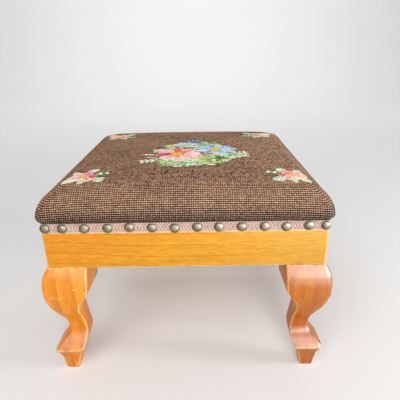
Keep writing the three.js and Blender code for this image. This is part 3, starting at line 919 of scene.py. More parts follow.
@dataclass
class SeatForm:
    """Form of the padded seat as level rings, from the crown's middle out and down to the hem."""

    half: float
    hem_half: float
    hem_level: float
    braid_top: float
    crown_top: float
    bulge_rise: float = 6 * MM
    edge_run: float = 37 * MM
    edge_rise: float = 35 * MM
    top_radius: float = 22 * MM
    bulge_radius: float = 10 * MM
    hem_radius: float = 2.6 * MM
    least_radius: float = 0.001 * MM
    corner_fade: float = 26 * MM
    side_draw: float = 1.2 * MM
    draw_share: float = 0.35
    release_share: float = 0.7
    corner_drop: float = 2 * MM
    drop_share: float = 0.8
    pleat_depth: float = 1.5 * MM
    pleat_width: float = 2.2 * MM
    second_pleat_share: float = 0.35
    second_pleat_place: float = 3.2
    profile_step: float = 0.25 * MM
    edge_steps: int = 240
    hem_steps: int = 60

    @property
    def flat(self) -> float:
        """Half width of the crown."""
        return self.half - self.edge_run

    @property
    def bulge_level(self) -> float:
        """Height of the widest ring."""
        return self.braid_top + self.bulge_rise

    @property
    def crown_rise(self) -> float:
        """Height of the crown's middle above its edge."""
        return self.crown_top - self.bulge_level - self.edge_rise

    def profile(self, inset: float) -> np.ndarray:
        """The section from the middle of the crown to the hem.

        Args:
            inset: How far inside the cover's outer face it lies.

        Returns:
            Rows of arc length, half width, height and corner radius.
        """
        crown = np.arange(0, self.flat, self.profile_step)
        turn = np.linspace(QUARTER, 0, self.edge_steps)[:-1]
        under = np.linspace(QUARTER, 0, self.hem_steps)
        edge_level = self.bulge_level + self.edge_rise - inset
        hem_half = self.hem_half - inset
        bulge_radius = self.bulge_radius - inset
        fall = self.bulge_level - self.braid_top - inset
        parts = [
            (
                crown,
                edge_level + self.crown_rise * (1 - (crown / self.flat) ** 2),
                self.top_radius * smooth_step(crown, self.flat - self.corner_fade, self.flat),
            ),
            (
                self.flat + (self.edge_run - inset) * np.cos(turn),
                self.bulge_level + (self.edge_rise - inset) * np.sin(turn),
                self.top_radius + (bulge_radius - self.top_radius) * np.cos(turn),
            ),
            (
                hem_half + (self.half - self.hem_half) * np.sin(under),
                self.bulge_level - fall * np.cos(under),
                self.hem_radius + (bulge_radius - self.hem_radius) * np.sin(under),
            ),
            (np.array([hem_half]), np.array([self.hem_level]), np.array([self.hem_radius])),
        ]
        width, level, radius = (np.concatenate(column) for column in zip(*parts))
        arc = np.concatenate([[0], np.cumsum(np.hypot(np.diff(width), np.diff(level)))])
        return np.stack([arc, width, level, np.maximum(radius, self.least_radius)], 1)

    def pleats(self, across: np.ndarray, gap: np.ndarray) -> np.ndarray:
        """Depth of the folds at a corner: a deep one on its diagonal and a raised one to its right.

        Args:
            across: Places across, in metres from the middle.
            gap: Distance of each from the corner's diagonal.

        Returns:
            The depth at each place.
        """
        fold, second = (
            np.exp(-(((gap - place * self.pleat_width) / self.pleat_width) ** 2))
            for place in (0, self.second_pleat_place)
        )
        return self.pleat_depth * (fold - self.second_pleat_share * second * (across > 0))

    def height(
        self, x: np.ndarray, y: np.ndarray, width: np.ndarray, level: np.ndarray, inset: float,
    ) -> np.ndarray:
        """Height of a skin: its rings, domed over the crown and dropped at the corners.

        Args:
            x: Places of its points along X.
            y: Places of its points along Y.
            width: Half width of each point's ring.
            level: Height of each point's ring.
            inset: How far inside the cover's outer face the skin lies.

        Returns:
            The heights.
        """
        high_x, high_y = (1 - np.clip(abs(axis) / self.flat, 0, 1) ** 2 for axis in (x, y))
        base = np.minimum(level, self.bulge_level + self.edge_rise - inset)
        upper = smooth_step(base, self.bulge_level, self.bulge_level + self.drop_share * self.edge_rise)
        corner = np.minimum(abs(x), abs(y)) / np.maximum(width, TINY)
        drop = self.corner_drop * upper * corner**2 * np.clip(width / self.flat, 0, 1) ** 2
        return base + self.crown_rise * high_x * high_y - drop

    def place(self, across: np.ndarray, down: np.ndarray, inset: float, pleated: bool) -> np.ndarray:
        """Wraps places of the flat canvas over the front quarter of the seat.

        Args:
            across: Places across, in metres from the middle.
            down: Places from the middle towards the front hem.
            inset: How far inside the cover's outer face the skin lies.
            pleated: Whether the corners are folded.

        Returns:
            The points, one row each.
        """
        rows = self.profile(inset)
        width, level, radius = (np.interp(down, rows[:, 0], rows[:, column]) for column in (1, 2, 3))
        straight = width - radius
        past = np.maximum(abs(across) - straight, 0)
        angle = np.minimum(past / radius, QUARTER)
        x = np.minimum(abs(across), straight) + radius * np.sin(angle)
        y = past - angle * radius - straight - radius * np.cos(angle)
        hem = rows[-1, 0]
        side = smooth_step(down, self.flat, self.flat + self.draw_share * (hem - self.flat))
        side = side * smooth_step(-down, -hem, -self.flat - self.release_share * (hem - self.flat))
        y = y + self.side_draw * side * np.clip(1 - (across / np.maximum(straight, TINY)) ** 2, 0, 1)
        if pleated:
            depth = side * self.pleats(across, straight + radius * QUARTER / 2 - abs(across))
            x = x - depth * np.sin(angle)
            y = y + depth * np.cos(angle)
        x = x * np.where(across < 0, -1, 1)
        return np.stack([x, y, self.height(x, y, width, level, inset)], 1)


@dataclass(frozen=True)
class StretchedCloth:
    """How the cover gives under the padding's push, as Blender's cloth."""

    stretch: float = 25
    pressure: float = 4.0
    frames: int = 20

    def push(self, pillow: bpy.types.Object, held: str) -> np.ndarray:
        """Blows up a closed skin.

        Args:
            pillow: The skin, as an object of the scene.
            held: Name of the vertex group that stays in place.

        Returns:
            Its points at the end, one row each.
        """
        cloth = pillow.modifiers.new("cloth", "CLOTH")
        for name, value in (
            ("quality", 6), ("mass", 0.3), ("tension_stiffness", self.stretch),
            ("compression_stiffness", self.stretch), ("shear_stiffness", 8), ("bending_stiffness", 2),
            ("use_pressure", True), ("uniform_pressure_force", self.pressure), ("vertex_group_mass", held),
        ):
            setattr(cloth.settings, name, value)
        cloth.settings.effector_weights.gravity = 0
        cloth.collision_settings.use_collision = False
        scene = bpy.context.scene
        for step in range(1, self.frames + 1):
            scene.frame_set(step)
        graph = bpy.context.evaluated_depsgraph_get()
        after = points_of(pillow.evaluated_get(graph).data)
        scene.frame_set(1)
        return after


@dataclass
class Swelling:
    """How far each point of a skin moved when it swelled."""

    tree: BVHTree
    skin: bpy.types.Mesh
    moved: np.ndarray

    def settle(self, mesh: bpy.types.Mesh) -> None:
        """Moves another skin as the swollen one beside it moved.

        Args:
            mesh: The other skin.
        """
        points = points_of(mesh)
        for index, point in enumerate(points):
            found, _, face, _ = self.tree.find_nearest(point)
            corners = self.skin.polygons[face].vertices
            weights = poly_3d_calc([self.skin.vertices[corner].co for corner in corners], found)
            points[index] += np.dot(weights, self.moved[list(corners)])
        set_points(mesh, points)


@dataclass
class PaddedSeat:
    """Needlepoint cover, cotton wadding and foam pad of the seat."""

    form: SeatForm
    stitch: float = 2.54 * MM
    fine_reach: float = 150 * MM
    cover_thickness: float = 1.2 * MM
    wadding_thickness: float = 5 * MM
    gap: float = 0.3 * MM
    weld: float = 0.02 * MM
    cloth: StretchedCloth = StretchedCloth()
    swell: float = 1.6 * MM
    row_dip: float = 3.6 * MM
    dip_power: int = 4
    dip_inset: float = 9 * MM
    stitch_rise: float = 0.35 * MM
    crisp_angle: float = 75
    front_spray: tuple[float, float] = (126.5, -121)
    back_spray: tuple[float, float] = (121, 105)
    spray_shift: tuple[float, float] = (2, -1.7)
    swelling: Optional[Swelling] = None

    def rows(self, pitch: float, late_pitch: float, inset: float) -> np.ndarray:
        """Places of the mesh's rows from the middle to the hem.

        Args:
            pitch: Their spacing on the crown.
            late_pitch: Their spacing past the fine stretch.
            inset: How far inside the cover's outer face the skin lies.

        Returns:
            The places.
        """
        end = self.form.profile(inset)[-1, 0]
        early = np.arange(0, self.fine_reach + pitch / 2, pitch)
        late = np.linspace(early[-1], end, 1 + round((end - early[-1]) / late_pitch))
        return np.concatenate([early, late[1:]])

    def skin(self, name: str, pitch: float, late_pitch: float, inset: float, pleated: bool) -> bpy.types.Mesh:
        """One skin of the seat, open at its hem, worked as four quarters that meet on the diagonals.

        Args:
            name: Name of the mesh.
            pitch: Spacing of its columns, and of its rows on the crown.
            late_pitch: Spacing of its rows past the fine stretch.
            inset: How far inside the cover's outer face it lies.
            pleated: Whether its corners are folded.

        Returns:
            The mesh, with the UV map "canvas" in stitches.
        """
        rows = self.rows(pitch, late_pitch, inset)
        reach = math.ceil(rows[-1] / pitch)
        quarter = bmesh.new()
        column, row = grid_steps(quarter, 2 * reach, len(rows) - 1)
        across = (column - reach) * pitch
        down = rows[len(rows) - 1 - row]
        move_points(quarter, self.form.place(across, down, inset, pleated))
        dip = np.clip(abs(across) / (self.form.half - self.dip_inset), 0, 1) ** self.dip_power
        dip = self.row_dip * dip * smooth_step(down, self.form.flat, rows[-1])
        lay_out(quarter, "canvas", np.stack([across, dip - down], 1) / self.stitch)
        for hand in (-1, 1):
            cut_away(quarter, (0, 0, 0), (hand, 1, 0))
        return self.four_times(to_mesh(quarter, "quarter"), name)

    def four_times(self, quarter: bpy.types.Mesh, name: str) -> bpy.types.Mesh:
        """Joins the front quarter and its three turned copies, and turns their canvas with them.

        Args:
            quarter: The front quarter, which is used up.
            name: Name of the whole.

        Returns:
            The whole skin.
        """
        whole = bmesh.new()
        laid = uv_places(quarter, "canvas")
        for turn in range(4):
            cos, sin = round(math.cos(turn * QUARTER)), round(math.sin(turn * QUARTER))
            turned = laid @ np.array([[cos, sin], [-sin, cos]])
            quarter.uv_layers["canvas"].uv.foreach_set("vector", turned.ravel())
            copy = quarter.copy()
            copy.transform(Matrix.Rotation(turn * QUARTER, 4, "Z"))
            whole.from_mesh(copy)
            bpy.data.meshes.remove(copy)
        bpy.data.meshes.remove(quarter)
        bmesh.ops.remove_doubles(whole, verts=whole.verts[:], dist=self.weld)
        bmesh.ops.recalc_face_normals(whole, faces=whole.faces[:])
        return to_mesh(whole, name)

    def plain_skin(self, name: str, inset: float) -> bpy.types.Mesh:
        """A coarse skin without pleats, for what doesn't show."""
        return self.skin(name, 2 * self.stitch, 2 * self.stitch, inset, False)

    def swollen(self) -> Swelling:
        """Lets a cloth skin swell under the padding's push, held at the hem.

        Returns:
            How it moved, at most by the seat's swell.
        """
        mesh = self.plain_skin("swelling", 0.0)
        shape = bmesh.new()
        shape.from_mesh(mesh)
        rim = open_edges(shape)
        held = {vert.index for edge in rim for vert in edge.verts}
        held.update(vert.index for vert in shape.verts if vert.co.z < self.form.braid_top + self.gap)
        bmesh.ops.contextual_create(shape, geom=rim)
        shape.to_mesh(mesh)
        shape.free()
        pillow = bpy.data.objects.new("swelling", mesh)
        bpy.context.scene.collection.objects.link(pillow)
        pillow.vertex_groups.new(name="held").add(sorted(held), 1.0, "REPLACE")
        before = points_of(mesh)
        moved = self.cloth.push(pillow, "held") - before
        bpy.data.objects.remove(pillow)
        length = np.linalg.norm(moved, axis=1)
        tree = BVHTree.FromPolygons(before.tolist(), [tuple(face.vertices) for face in mesh.polygons])
        LOG.info("swelling: %.2f mm at most, %.2f mm on average", length.max() / MM, length.mean() / MM)
        return Swelling(tree, mesh, moved * min(1.0, self.swell / length.max()))

    def settled(self, mesh: bpy.types.Mesh) -> bpy.types.Mesh:
        """The skin, swollen where the cloth was run."""
        if self.swelling is not None:
            self.swelling.settle(mesh)
        return mesh

    def paint(self, mesh: bpy.types.Mesh) -> None:
        """Gives each face of the cover the wool of its stitch.

        Args:
            mesh: The cover's outer skin.
        """
        starts = np.empty(len(mesh.polygons), int)
        counts = np.empty(len(mesh.polygons), int)
        mesh.polygons.foreach_get("loop_start", starts)
        mesh.polygons.foreach_get("loop_total", counts)
        middle = np.add.reduceat(uv_places(mesh, "canvas"), starts) / counts[:, None] * self.stitch / MM
        painting = WoolPainting(middle[:, 0], middle[:, 1])
        painting.bouquet()
        (front_x, front_y), (back_x, back_y), (shift_x, shift_y) = (
            self.front_spray, self.back_spray, self.spray_shift,
        )
        for hand in (-1, 1):
            painting.corner_spray((hand * front_x + shift_x, front_y + hand * shift_y), -hand, 1, True)
            painting.corner_spray((hand * back_x, back_y), -hand, -1, False)
        layer = mesh.color_attributes.new("wool", "FLOAT_COLOR", "CORNER")
        colours = np.repeat(painting.colours, counts, axis=0).astype(np.float32)
        layer.data.foreach_set("color", colours.ravel())

    def raise_stitches(self, mesh: bpy.types.Mesh) -> None:
        """Lifts the middle of each stitch above the holes at its corners.

        Args:
            mesh: The cover's outer skin.
        """
        corner = np.empty(len(mesh.loops), int)
        mesh.loops.foreach_get("vertex_index", corner)
        canvas = np.zeros((len(mesh.vertices), 2))
        canvas[corner] = uv_places(mesh, "canvas")
        normals = np.empty(len(mesh.vertices) * 3)
        mesh.vertices.foreach_get("normal", normals)
        bump = np.prod(np.sin(math.pi * canvas) ** 2, axis=1) - 0.5
        set_points(mesh, points_of(mesh) + normals.reshape(-1, 3) * (self.stitch_rise * bump)[:, None])

    def cover(self) -> None:
        """Builds the stitched cover, a thin shell with its hem open below."""
        outer = self.settled(self.skin("cover", self.stitch / 2, self.stitch, 0.0, True))
        self.raise_stitches(outer)
        lining = self.settled(self.plain_skin("lining", self.cover_thickness))
        shell = bmesh.new()
        shell.from_mesh(outer)
        shell.from_mesh(lining)
        inside = [face for face in shell.faces if face.index >= len(outer.polygons)]
        bmesh.ops.reverse_faces(shell, faces=inside)
        bmesh.ops.bridge_loops(shell, edges=open_edges(shell))
        name, node = "stitched_cover", "needlepoint_cover"
        mesh = to_mesh(shell, name)
        self.paint(mesh)
        piece = add_piece(name, mesh, WorkedWool().material(), [node], self.crisp_angle)

    def filling(
        self, name: str, node: str, finish: SoftFilling, inset: float, depth: float,
    ) -> None:
        """Builds one hidden layer of padding.

        Args:
            name: Name of the piece.
            node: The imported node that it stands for.
            finish: Its finish.
            inset: How far inside the cover's outer face it lies.
            depth: Its thickness, or 0 for a solid pad.
        """
        shape = bmesh.new()
        shape.from_mesh(self.settled(self.plain_skin(name, inset)))
        floor = self.form.braid_top + self.gap * (1 if depth else 2)
        cut_away(shape, (0, 0, floor), (0, 0, -1))
        if depth:
            bmesh.ops.solidify(shape, geom=shape.faces[:], thickness=depth)
        else:
            bmesh.ops.contextual_create(shape, geom=open_edges(shape))
        bmesh.ops.recalc_face_normals(shape, faces=shape.faces[:])
        piece = add_piece(name, to_mesh(shape, name), finish.material(), [node], self.crisp_angle)

    def build(self) -> None:
        """Builds the cover and what it holds."""
        self.swelling = self.swollen()
        self.cover()
        cotton, foam = (
            SoftFilling(name, picture_colour(*body), picture_colour(*hollow), grain)
            for name, body, hollow, grain in (
                ("cotton wadding", (238, 234, 222), (214, 206, 188), 900),
                ("open foam", (232, 214, 158), (196, 170, 108), 1400),
            )
        )
        inset = self.cover_thickness + self.gap
        self.filling("cotton_layer", "cotton_wadding", cotton, inset, self.wadding_thickness)
        self.filling("foam_block", "foam_pad", foam, inset + self.wadding_thickness + self.gap, 0.0)


@dataclass(frozen=True)
class BraidWeave:
    """How the braid is woven: rows of strands, each a little behind the one nearer the middle."""

    pitch: float = 3.6 * MM
    rows: int = 6
    lag: float = 0.62

    def lags(self, up: np.ndarray) -> np.ndarray:
        """How far each place's row is behind, in strands.

        Args:
            up: Place across the braid, from 0 to 1.

        Returns:
            The lag of its row.
        """
        row = np.clip(np.floor(up * self.rows), 0, self.rows - 1)
        return self.lag * abs(row - (self.rows - 1) / 2)


@dataclass(frozen=True)
class BraidYarn:
    """Finish of the braid: strands in rose and cream with a cream cord along the lower edge, and painted
    shade in the gaps between strands and rows, stronger towards the top.
    """

    weave: BraidWeave
    rose: Colour = picture_colour(178, 112, 112)
    pink: Colour = picture_colour(210, 162, 152)
    cream: Colour = picture_colour(222, 199, 180)
    faded: Colour = picture_colour(166, 170, 142)
    # gap: painted shade between the strands and between the rows.
    gap: Colour = picture_colour(78, 48, 38)

    def material(self) -> bpy.types.Material:
        """Builds the finish, which reads the UV map "braid": strands along, share of the width up."""
        sheet = NodeSheet("braid yarn")
        along, up, _ = sheet.split(sheet.laid_out("braid"))
        row = (up * self.weave.rows).whole()
        phase = along + self.weave.lag * (row - (self.weave.rows - 1) / 2).size()
        strand = phase.whole()
        across = phase.part()
        turn = sheet.chance(strand, row, 3.0)
        second = across.step(0.42, 0.5) - across.step(0.92, 1.0)
        body = sheet.blend(second * (0.35 + 0.6 * turn), self.cream, self.rose)
        body = sheet.blend((turn * 7.0).part() * 0.6, body, self.pink)
        fibre = sheet.noise(sheet.join(along * 9.0, up * 26.0, strand), 1.4, 2.0)
        colour = sheet.shaded(body, 0.8 + 0.4 * fibre)
        # The seams between the rows and the slits between the strands get painted shade, its strength varying
        # along the braid and growing towards the top, under the seat's edge.
        lane = ((up * self.weave.rows).part() - 0.5).size()
        worn_and_painted_light = 0.5 + 0.9 * sheet.noise(sheet.join(along * 0.35, up * 5.0, 0.0), 1.0, 2.0) * (0.7 + 0.6 * up)
        seam = lane.step(0.3, 0.5) * (0.3 + 0.7 * second) * worn_and_painted_light
        slit = (across - 0.46).size().step(0.1, 0.0) * 0.8 * worn_and_painted_light
        colour = sheet.blend((seam + slit).at_most(1.0), colour, self.gap)
        spots = sheet.noise(sheet.join(along * 0.9, up * 4.0, 7.0), 1.0, 2.0).step(0.52, 0.7)
        colour = sheet.blend(0.35 * spots, colour, self.faded)
        colour = sheet.blend(up.step(0.11, 0.07), colour, self.cream)
        return sheet.finish(
            colour, 0.85, sheet.relief(fibre, 0.2 * MM), {"Specular IOR Level": 0.25, "Sheen Weight": 0.08},
        )


@dataclass
class GimpBraid:
    """The woven band round the lower edge of the seat, pressed flat under the nail heads."""

    low: Vector
    high: Vector
    weave: BraidWeave = BraidWeave()
    columns_per_strand: int = 8
    rows: int = 24
    back_rows: int = 3
    thickness: float = 1.3 * MM
    relief: float = 0.9 * MM
    corner_radius: float = 5 * MM
    nail_inner: float = 5.1 * MM
    nail_outer: float = 7.8 * MM
    pressed_share: float = 0.25
    cord_share: float = 0.1
    cord_height: float = 0.9
    weld: float = 0.01 * MM
    crisp_angle: float = 80

    def lift(self, strand: np.ndarray, up: np.ndarray, along: np.ndarray, nails: "NailRows") -> np.ndarray:
        """How far the front of the band stands out, with its strands in relief.

        Args:
            strand: Number of strands gone by.
            up: Place across the band, from 0 to 1.
            along: Place along the side, from its middle.
            nails: The nails that press it down.

        Returns:
            The lift at each place.
        """
        ridge = abs(np.sin(2 * math.pi * (strand + self.weave.lags(up)))) ** 0.6
        ridge = ridge * (0.35 + 0.65 * abs(np.sin(math.pi * up * self.weave.rows)) ** 0.5)
        ridge = np.where(up < self.cord_share, self.cord_height, ridge)
        ridge = ridge * smooth_step(np.minimum(up, 1 - up), -0.02, 0.06)
        near = np.min([abs(along - nail) for nail in nails.places_along()], axis=0)
        reach = np.hypot(near, (up - 0.5) * (self.high.z - self.low.z))
        loose = smooth_step(reach, self.nail_inner, self.nail_outer)
        return self.relief * (ridge * (self.pressed_share + (1 - self.pressed_share) * loose) - 0.5)

    def build(self, nails: "NailRows") -> None:
        """Builds the band as one closed strip.

        Args:
            nails: The nails that press it down.
        """
        straight = self.high.x - self.corner_radius
        side = 2 * straight + self.corner_radius * QUARTER
        columns = 4 * round(side / self.weave.pitch) * self.columns_per_strand
        shape = bmesh.new()
        column, row = grid_steps(shape, columns, self.rows + self.back_rows)
        up = np.select([row <= self.rows, row == self.rows + 1], [row / self.rows, 1.0], 0.0)
        strand = column / self.columns_per_strand
        quarter = np.floor(4 * column / columns)
        along = 4 * side * column / columns - quarter * side - straight
        front = (row <= self.rows) | (row == self.rows + self.back_rows)
        radius = self.corner_radius + np.where(front, self.lift(strand, up, along, nails), -self.thickness)
        angle = np.maximum(along - straight, 0) / self.corner_radius
        outward = straight + radius * np.cos(angle)
        sideways = np.minimum(along, straight) + radius * np.sin(angle)
        turn = quarter * QUARTER
        move_points(shape, np.stack([
            sideways * np.cos(turn) + outward * np.sin(turn),
            sideways * np.sin(turn) - outward * np.cos(turn),
            self.low.z + (self.high.z - self.low.z) * up,
        ], 1))
        lay_out(shape, "braid", np.stack([strand, up], 1))
        bmesh.ops.remove_doubles(shape, verts=shape.verts[:], dist=self.weld)
        bmesh.ops.recalc_face_normals(shape, faces=shape.faces[:])
        name, finish = "braid_band", BraidYarn(self.weave).material()
        add_piece(name, to_mesh(shape, name), finish, ["gimp_braid"], self.crisp_angle)


@dataclass(frozen=True)
class AgedBrass:
    """Finish of the nail heads: dull greenish brass, with painted shade darkening the rim, most at its lower
    edge.
    """

    bright: Colour = picture_colour(113, 101, 84)
    dull: Colour = picture_colour(90, 79, 64)
    # rim: colour of the painted shade on the rim of each head.
    rim: Colour = picture_colour(40, 35, 27)

    def material(self) -> bpy.types.Material:
        """Builds the finish on the object's own coordinates and the attribute "rim"."""
        sheet = NodeSheet("aged brass")
        place = sheet.place()
        tarnish = sheet.noise(place, 260, 3.0, 0.6)
        pits = sheet.noise(place, 1600, 2.0)
        colour = sheet.blend(tarnish.step(0.35, 0.65), self.dull, self.bright)
        # Painted shade on the rim, varied with the tarnish.
        colour = sheet.blend(sheet.strength("rim") * (0.7 + 0.6 * tarnish), colour, self.rim)
        roughness = 0.52 + 0.16 * tarnish
        return sheet.finish(colour, roughness, sheet.relief(pits, 0.04 * MM), {"Metallic": 0.66})


@dataclass
class NailRows:
    """Domed nails in a row on each side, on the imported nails' places."""

    face: float
    level: float
    radius: float = 5.6 * MM
    head: float = 3.6 * MM
    rim_height: float = 0.35 * MM
    hollow_step: float = 0.5 * MM
    under_width: float = 0.94
    under_rings: int = 3
    pitch: float = 25.4 * MM
    pairs: int = 6
    end_place: float = 159 * MM
    segments: int = 28
    rings: int = 12
    seed: int = 5
    lean: float = 2
    drift_along: float = 0.3 * MM
    drift_up: float = 0.35 * MM
    rim_shade_start: float = 0.68
    crisp_angle: float = 60

    def places_along(self, corners: bool = True) -> list[float]:
        """Places of the nails along a side, from its middle.

        Args:
            corners: Whether the side has a nail at each end too.

        Returns:
            The places.
        """
        inner = [(index + 0.5) * self.pitch * hand for index in range(self.pairs) for hand in (-1, 1)]
        return inner + [self.end_place, -self.end_place] * corners

    def build(self) -> None:
        """Builds the four rows."""
        finish = AgedBrass().material()
        dice = random.Random(self.seed)
        for turn, side in enumerate(SIDES):
            row = bmesh.new()
            for along in self.places_along(corners=side in ("front", "back")):
                self.add_nail(row, along, dice)
            turn_round(row, turn)
            name = f"domed_nails_{side}"
            add_piece(name, to_mesh(row, name), finish, [f"nails_{side}"], self.crisp_angle)

    def head_points(self, column: np.ndarray, ring: np.ndarray) -> np.ndarray:
        """Points of a head: a dome, its rim and a hollow underside.

        Args:
            column: Place of each point round the head.
            ring: Its ring, from the dome's middle out, over the rim and in again.

        Returns:
            The points, one row each.
        """
        past = ring - self.rings
        dome = np.minimum(ring / self.rings, 1) * QUARTER
        under = self.radius * np.clip((self.under_rings - past) / self.under_rings, 0, self.under_width)
        width = np.where(past > 0, under, self.radius * np.sin(dome))
        domed = self.rim_height + (self.head - self.rim_height) * np.cos(dome)
        lift = np.where(past > 0, self.hollow_step * (past - 1), domed)
        angle = column / self.segments * 4 * QUARTER
        return np.stack([width * np.cos(angle), -lift, width * np.sin(angle)], 1)

    def add_nail(self, row: bmesh.types.BMesh, along: float, dice: random.Random) -> None:
        """Adds one nail to the front row.

        Args:
            row: The row's shape.
            along: Its place along the side.
            dice: Source of its small differences.
        """
        head = wrapped(self.segments, self.rings + self.under_rings, self.head_points)
        rim = head.verts.layers.float.new("rim")
        for vert in head.verts:
            width = np.hypot(vert.co.x, vert.co.z)
            edge = float(smooth_step(width, self.rim_shade_start * self.radius, self.radius))
            # Share of painted shade on the rim of the head, most at its lower edge.
            vert[rim] = edge * (0.7 - 0.4 * vert.co.z / self.radius)
        lean_down, lean_aside = (
            Matrix.Rotation(math.radians(dice.gauss(0, self.lean)), 4, axis) for axis in ("X", "Z")
        )
        shift_along, shift_up = dice.gauss(0, self.drift_along), dice.gauss(0, self.drift_up)
        shift = Matrix.Translation((along + shift_along, -self.face, self.level + shift_up))
        mesh = to_mesh(head, "nail")
        mesh.transform(shift @ lean_down @ lean_aside)
        row.from_mesh(mesh)
        bpy.data.meshes.remove(mesh)


@dataclass(frozen=True)
class VarnishedWood:
    """Finish of the frame and legs: orange-brown wood under clear varnish.

    The grain is the axis that the fibres follow. Each scuff holds its middle across and up, its half width
    and its half height.
    """

    name: str
    early: Colour
    late: Colour
    # Pale colour of rubbed varnish, also painted on the arrises as a highlight and blended a little into the
    # +X end.
    worn_and_painted_light: Colour
    grain: int
    roughness: float
    coat: float = 0.0
    ring: float = 8 * MM
    vein: Colour = picture_colour(176, 104, 24)
    veining: float = 0.65
    vein_start: float = 0.86
    vein_middle: float = 0.96
    contrast: float = 1.0
    stretch: float = 0.06
    stripe: float = 0.2
    figure: float = 50 * MM
    lie: tuple[float, float] = (0.6, 1.0)
    redder: float = 0.0
    deep_tint: Colour = (0.98, 0.84, 0.88, 1.0)
    pale_tint: Colour = (0.9, 0.93, 0.9, 1.0)
    darker_foot: float = 0.0
    foot_tint: Colour = (0.84, 0.74, 0.7, 1.0)
    scuffs: tuple[tuple[float, float, float, float], ...] = ()
    scuff_strength: float = 0.75

    def drawn_out(self, sheet: NodeSheet, place: Sequence[Signal], share: float) -> bpy.types.NodeSocket:
        """The place for a pattern that is drawn out along the grain.

        Args:
            sheet: The finish's nodes.
            place: Place on the piece along each axis.
            share: What the way along the grain is multiplied by.

        Returns:
            The place.
        """
        shares = (share if index == self.grain else 1.0 for index in range(3))
        return sheet.join(*(axis * scale for axis, scale in zip(place, shares)))

    def coloured(self, sheet: NodeSheet, place: Sequence[Signal], fibre: Signal) -> bpy.types.NodeSocket:
        """The wood's fibres, stripes, veins and clouds, redder to -X, paler to +X and darker at a foot.

        Args:
            sheet: The finish's nodes.
            place: Place on the piece along each axis.
            fibre: The fibres.

        Returns:
            The colour.
        """
        slowly = self.drawn_out(sheet, place, 0.05)
        short = self.drawn_out(sheet, place, 2.0 * self.stretch)
        fleck = sheet.noise(short, 460.0, 2.0).step(0.58, 0.7)
        stripes = sheet.noise(slowly, 130.0, 2.0).step(0.62, 0.36)
        share = (0.9 * fibre + 0.05).step(0.16, 0.8) * (1.0 - 0.24 * fleck) * (1.0 - self.stripe * stripes)
        colour = sheet.blend(1.0 - self.contrast * (1.0 - share), self.late, self.early)
        sweep = sheet.noise(self.drawn_out(sheet, place, 0.3), 11.0, 1.0)
        depth = place[(self.grain + 1) % 3] * self.lie[0] + place[(self.grain + 2) % 3] * self.lie[1]
        rings = ((depth + self.figure * sweep) / self.ring).part()
        line = rings.step(self.vein_start, self.vein_middle) * rings.step(1.0, self.vein_middle)
        broken = sheet.noise(short, 40.0, 2.0).step(0.42, 0.58)
        colour = sheet.blend(self.veining * line * broken, colour, self.vein)
        colour = sheet.shaded(colour, 0.84 + 0.32 * sheet.noise(slowly, 26.0, 2.0))
        across, _, height = place
        deep = self.redder * across.step(60 * MM, -170 * MM)
        colour = sheet.blend(deep, colour, self.deep_tint, "MULTIPLY")
        foot = self.darker_foot * height.step(110 * MM, 50 * MM)
        colour = sheet.blend(foot, colour, self.foot_tint, "MULTIPLY")
        pale = self.redder * across.step(20 * MM, 170 * MM)
        return sheet.blend(pale, sheet.blend(0.1 * pale, colour, self.worn_and_painted_light), self.pale_tint, "MULTIPLY")

    def wear_and_highlight(self, sheet: NodeSheet, place: Sequence[Signal], arris: Signal) -> Signal:
        """How far the colour turns pale: on the arrises, as rubbed varnish together with a painted highlight,
        and in the scuffs, as rubbed varnish.

        Args:
            sheet: The finish's nodes.
            place: Place on the piece along each axis.
            arris: How much of an arris each place is.

        Returns:
            The share of the pale colour, from 0 to 1.
        """
        x, y, z = place
        # Arrises turn pale: rubbed varnish together with a painted highlight. The scuffs below are rubbed
        # varnish.
        worn_and_painted_light = arris * sheet.noise(sheet.join(x, y, z), 220.0, 3.0).step(0.26, 0.58) * 0.6
        scratches = sheet.noise(sheet.join(x * 0.5, y, z), 800.0, 3.0, 0.7).step(0.5, 0.6)
        front = y.step(-150 * MM, -156 * MM)
        for across, up, half_width, half_height in self.scuffs:
            reach = ((x - across) / half_width) ** 2.0 + ((z - up) / half_height) ** 2.0
            worn_and_painted_light = worn_and_painted_light + self.scuff_strength * reach.step(1.0, 0.3) * scratches * front
        return worn_and_painted_light.at_most(1.0)

    def material(self) -> bpy.types.Material:
        """Builds the finish on the object's own coordinates and the attribute "arris"."""
        sheet = NodeSheet(self.name)
        place = sheet.split(sheet.place())
        arris = sheet.strength("arris")
        fibre = sheet.noise(self.drawn_out(sheet, place, self.stretch), 1100.0, 3.0, 0.65)
        colour = self.coloured(sheet, place, fibre)
        # Pale where rubbed, and where the arrises carry a painted highlight.
        colour = sheet.blend(self.wear_and_highlight(sheet, place, arris), colour, self.worn_and_painted_light)
        coat = self.coat * (1.0 - 0.7 * arris)
        return sheet.finish(
            colour, self.roughness + 0.1 * fibre, sheet.relief(fibre, 0.03 * MM),
            {"Specular IOR Level": 0.1, "Coat Weight": coat, "Coat Roughness": 0.4},
        )


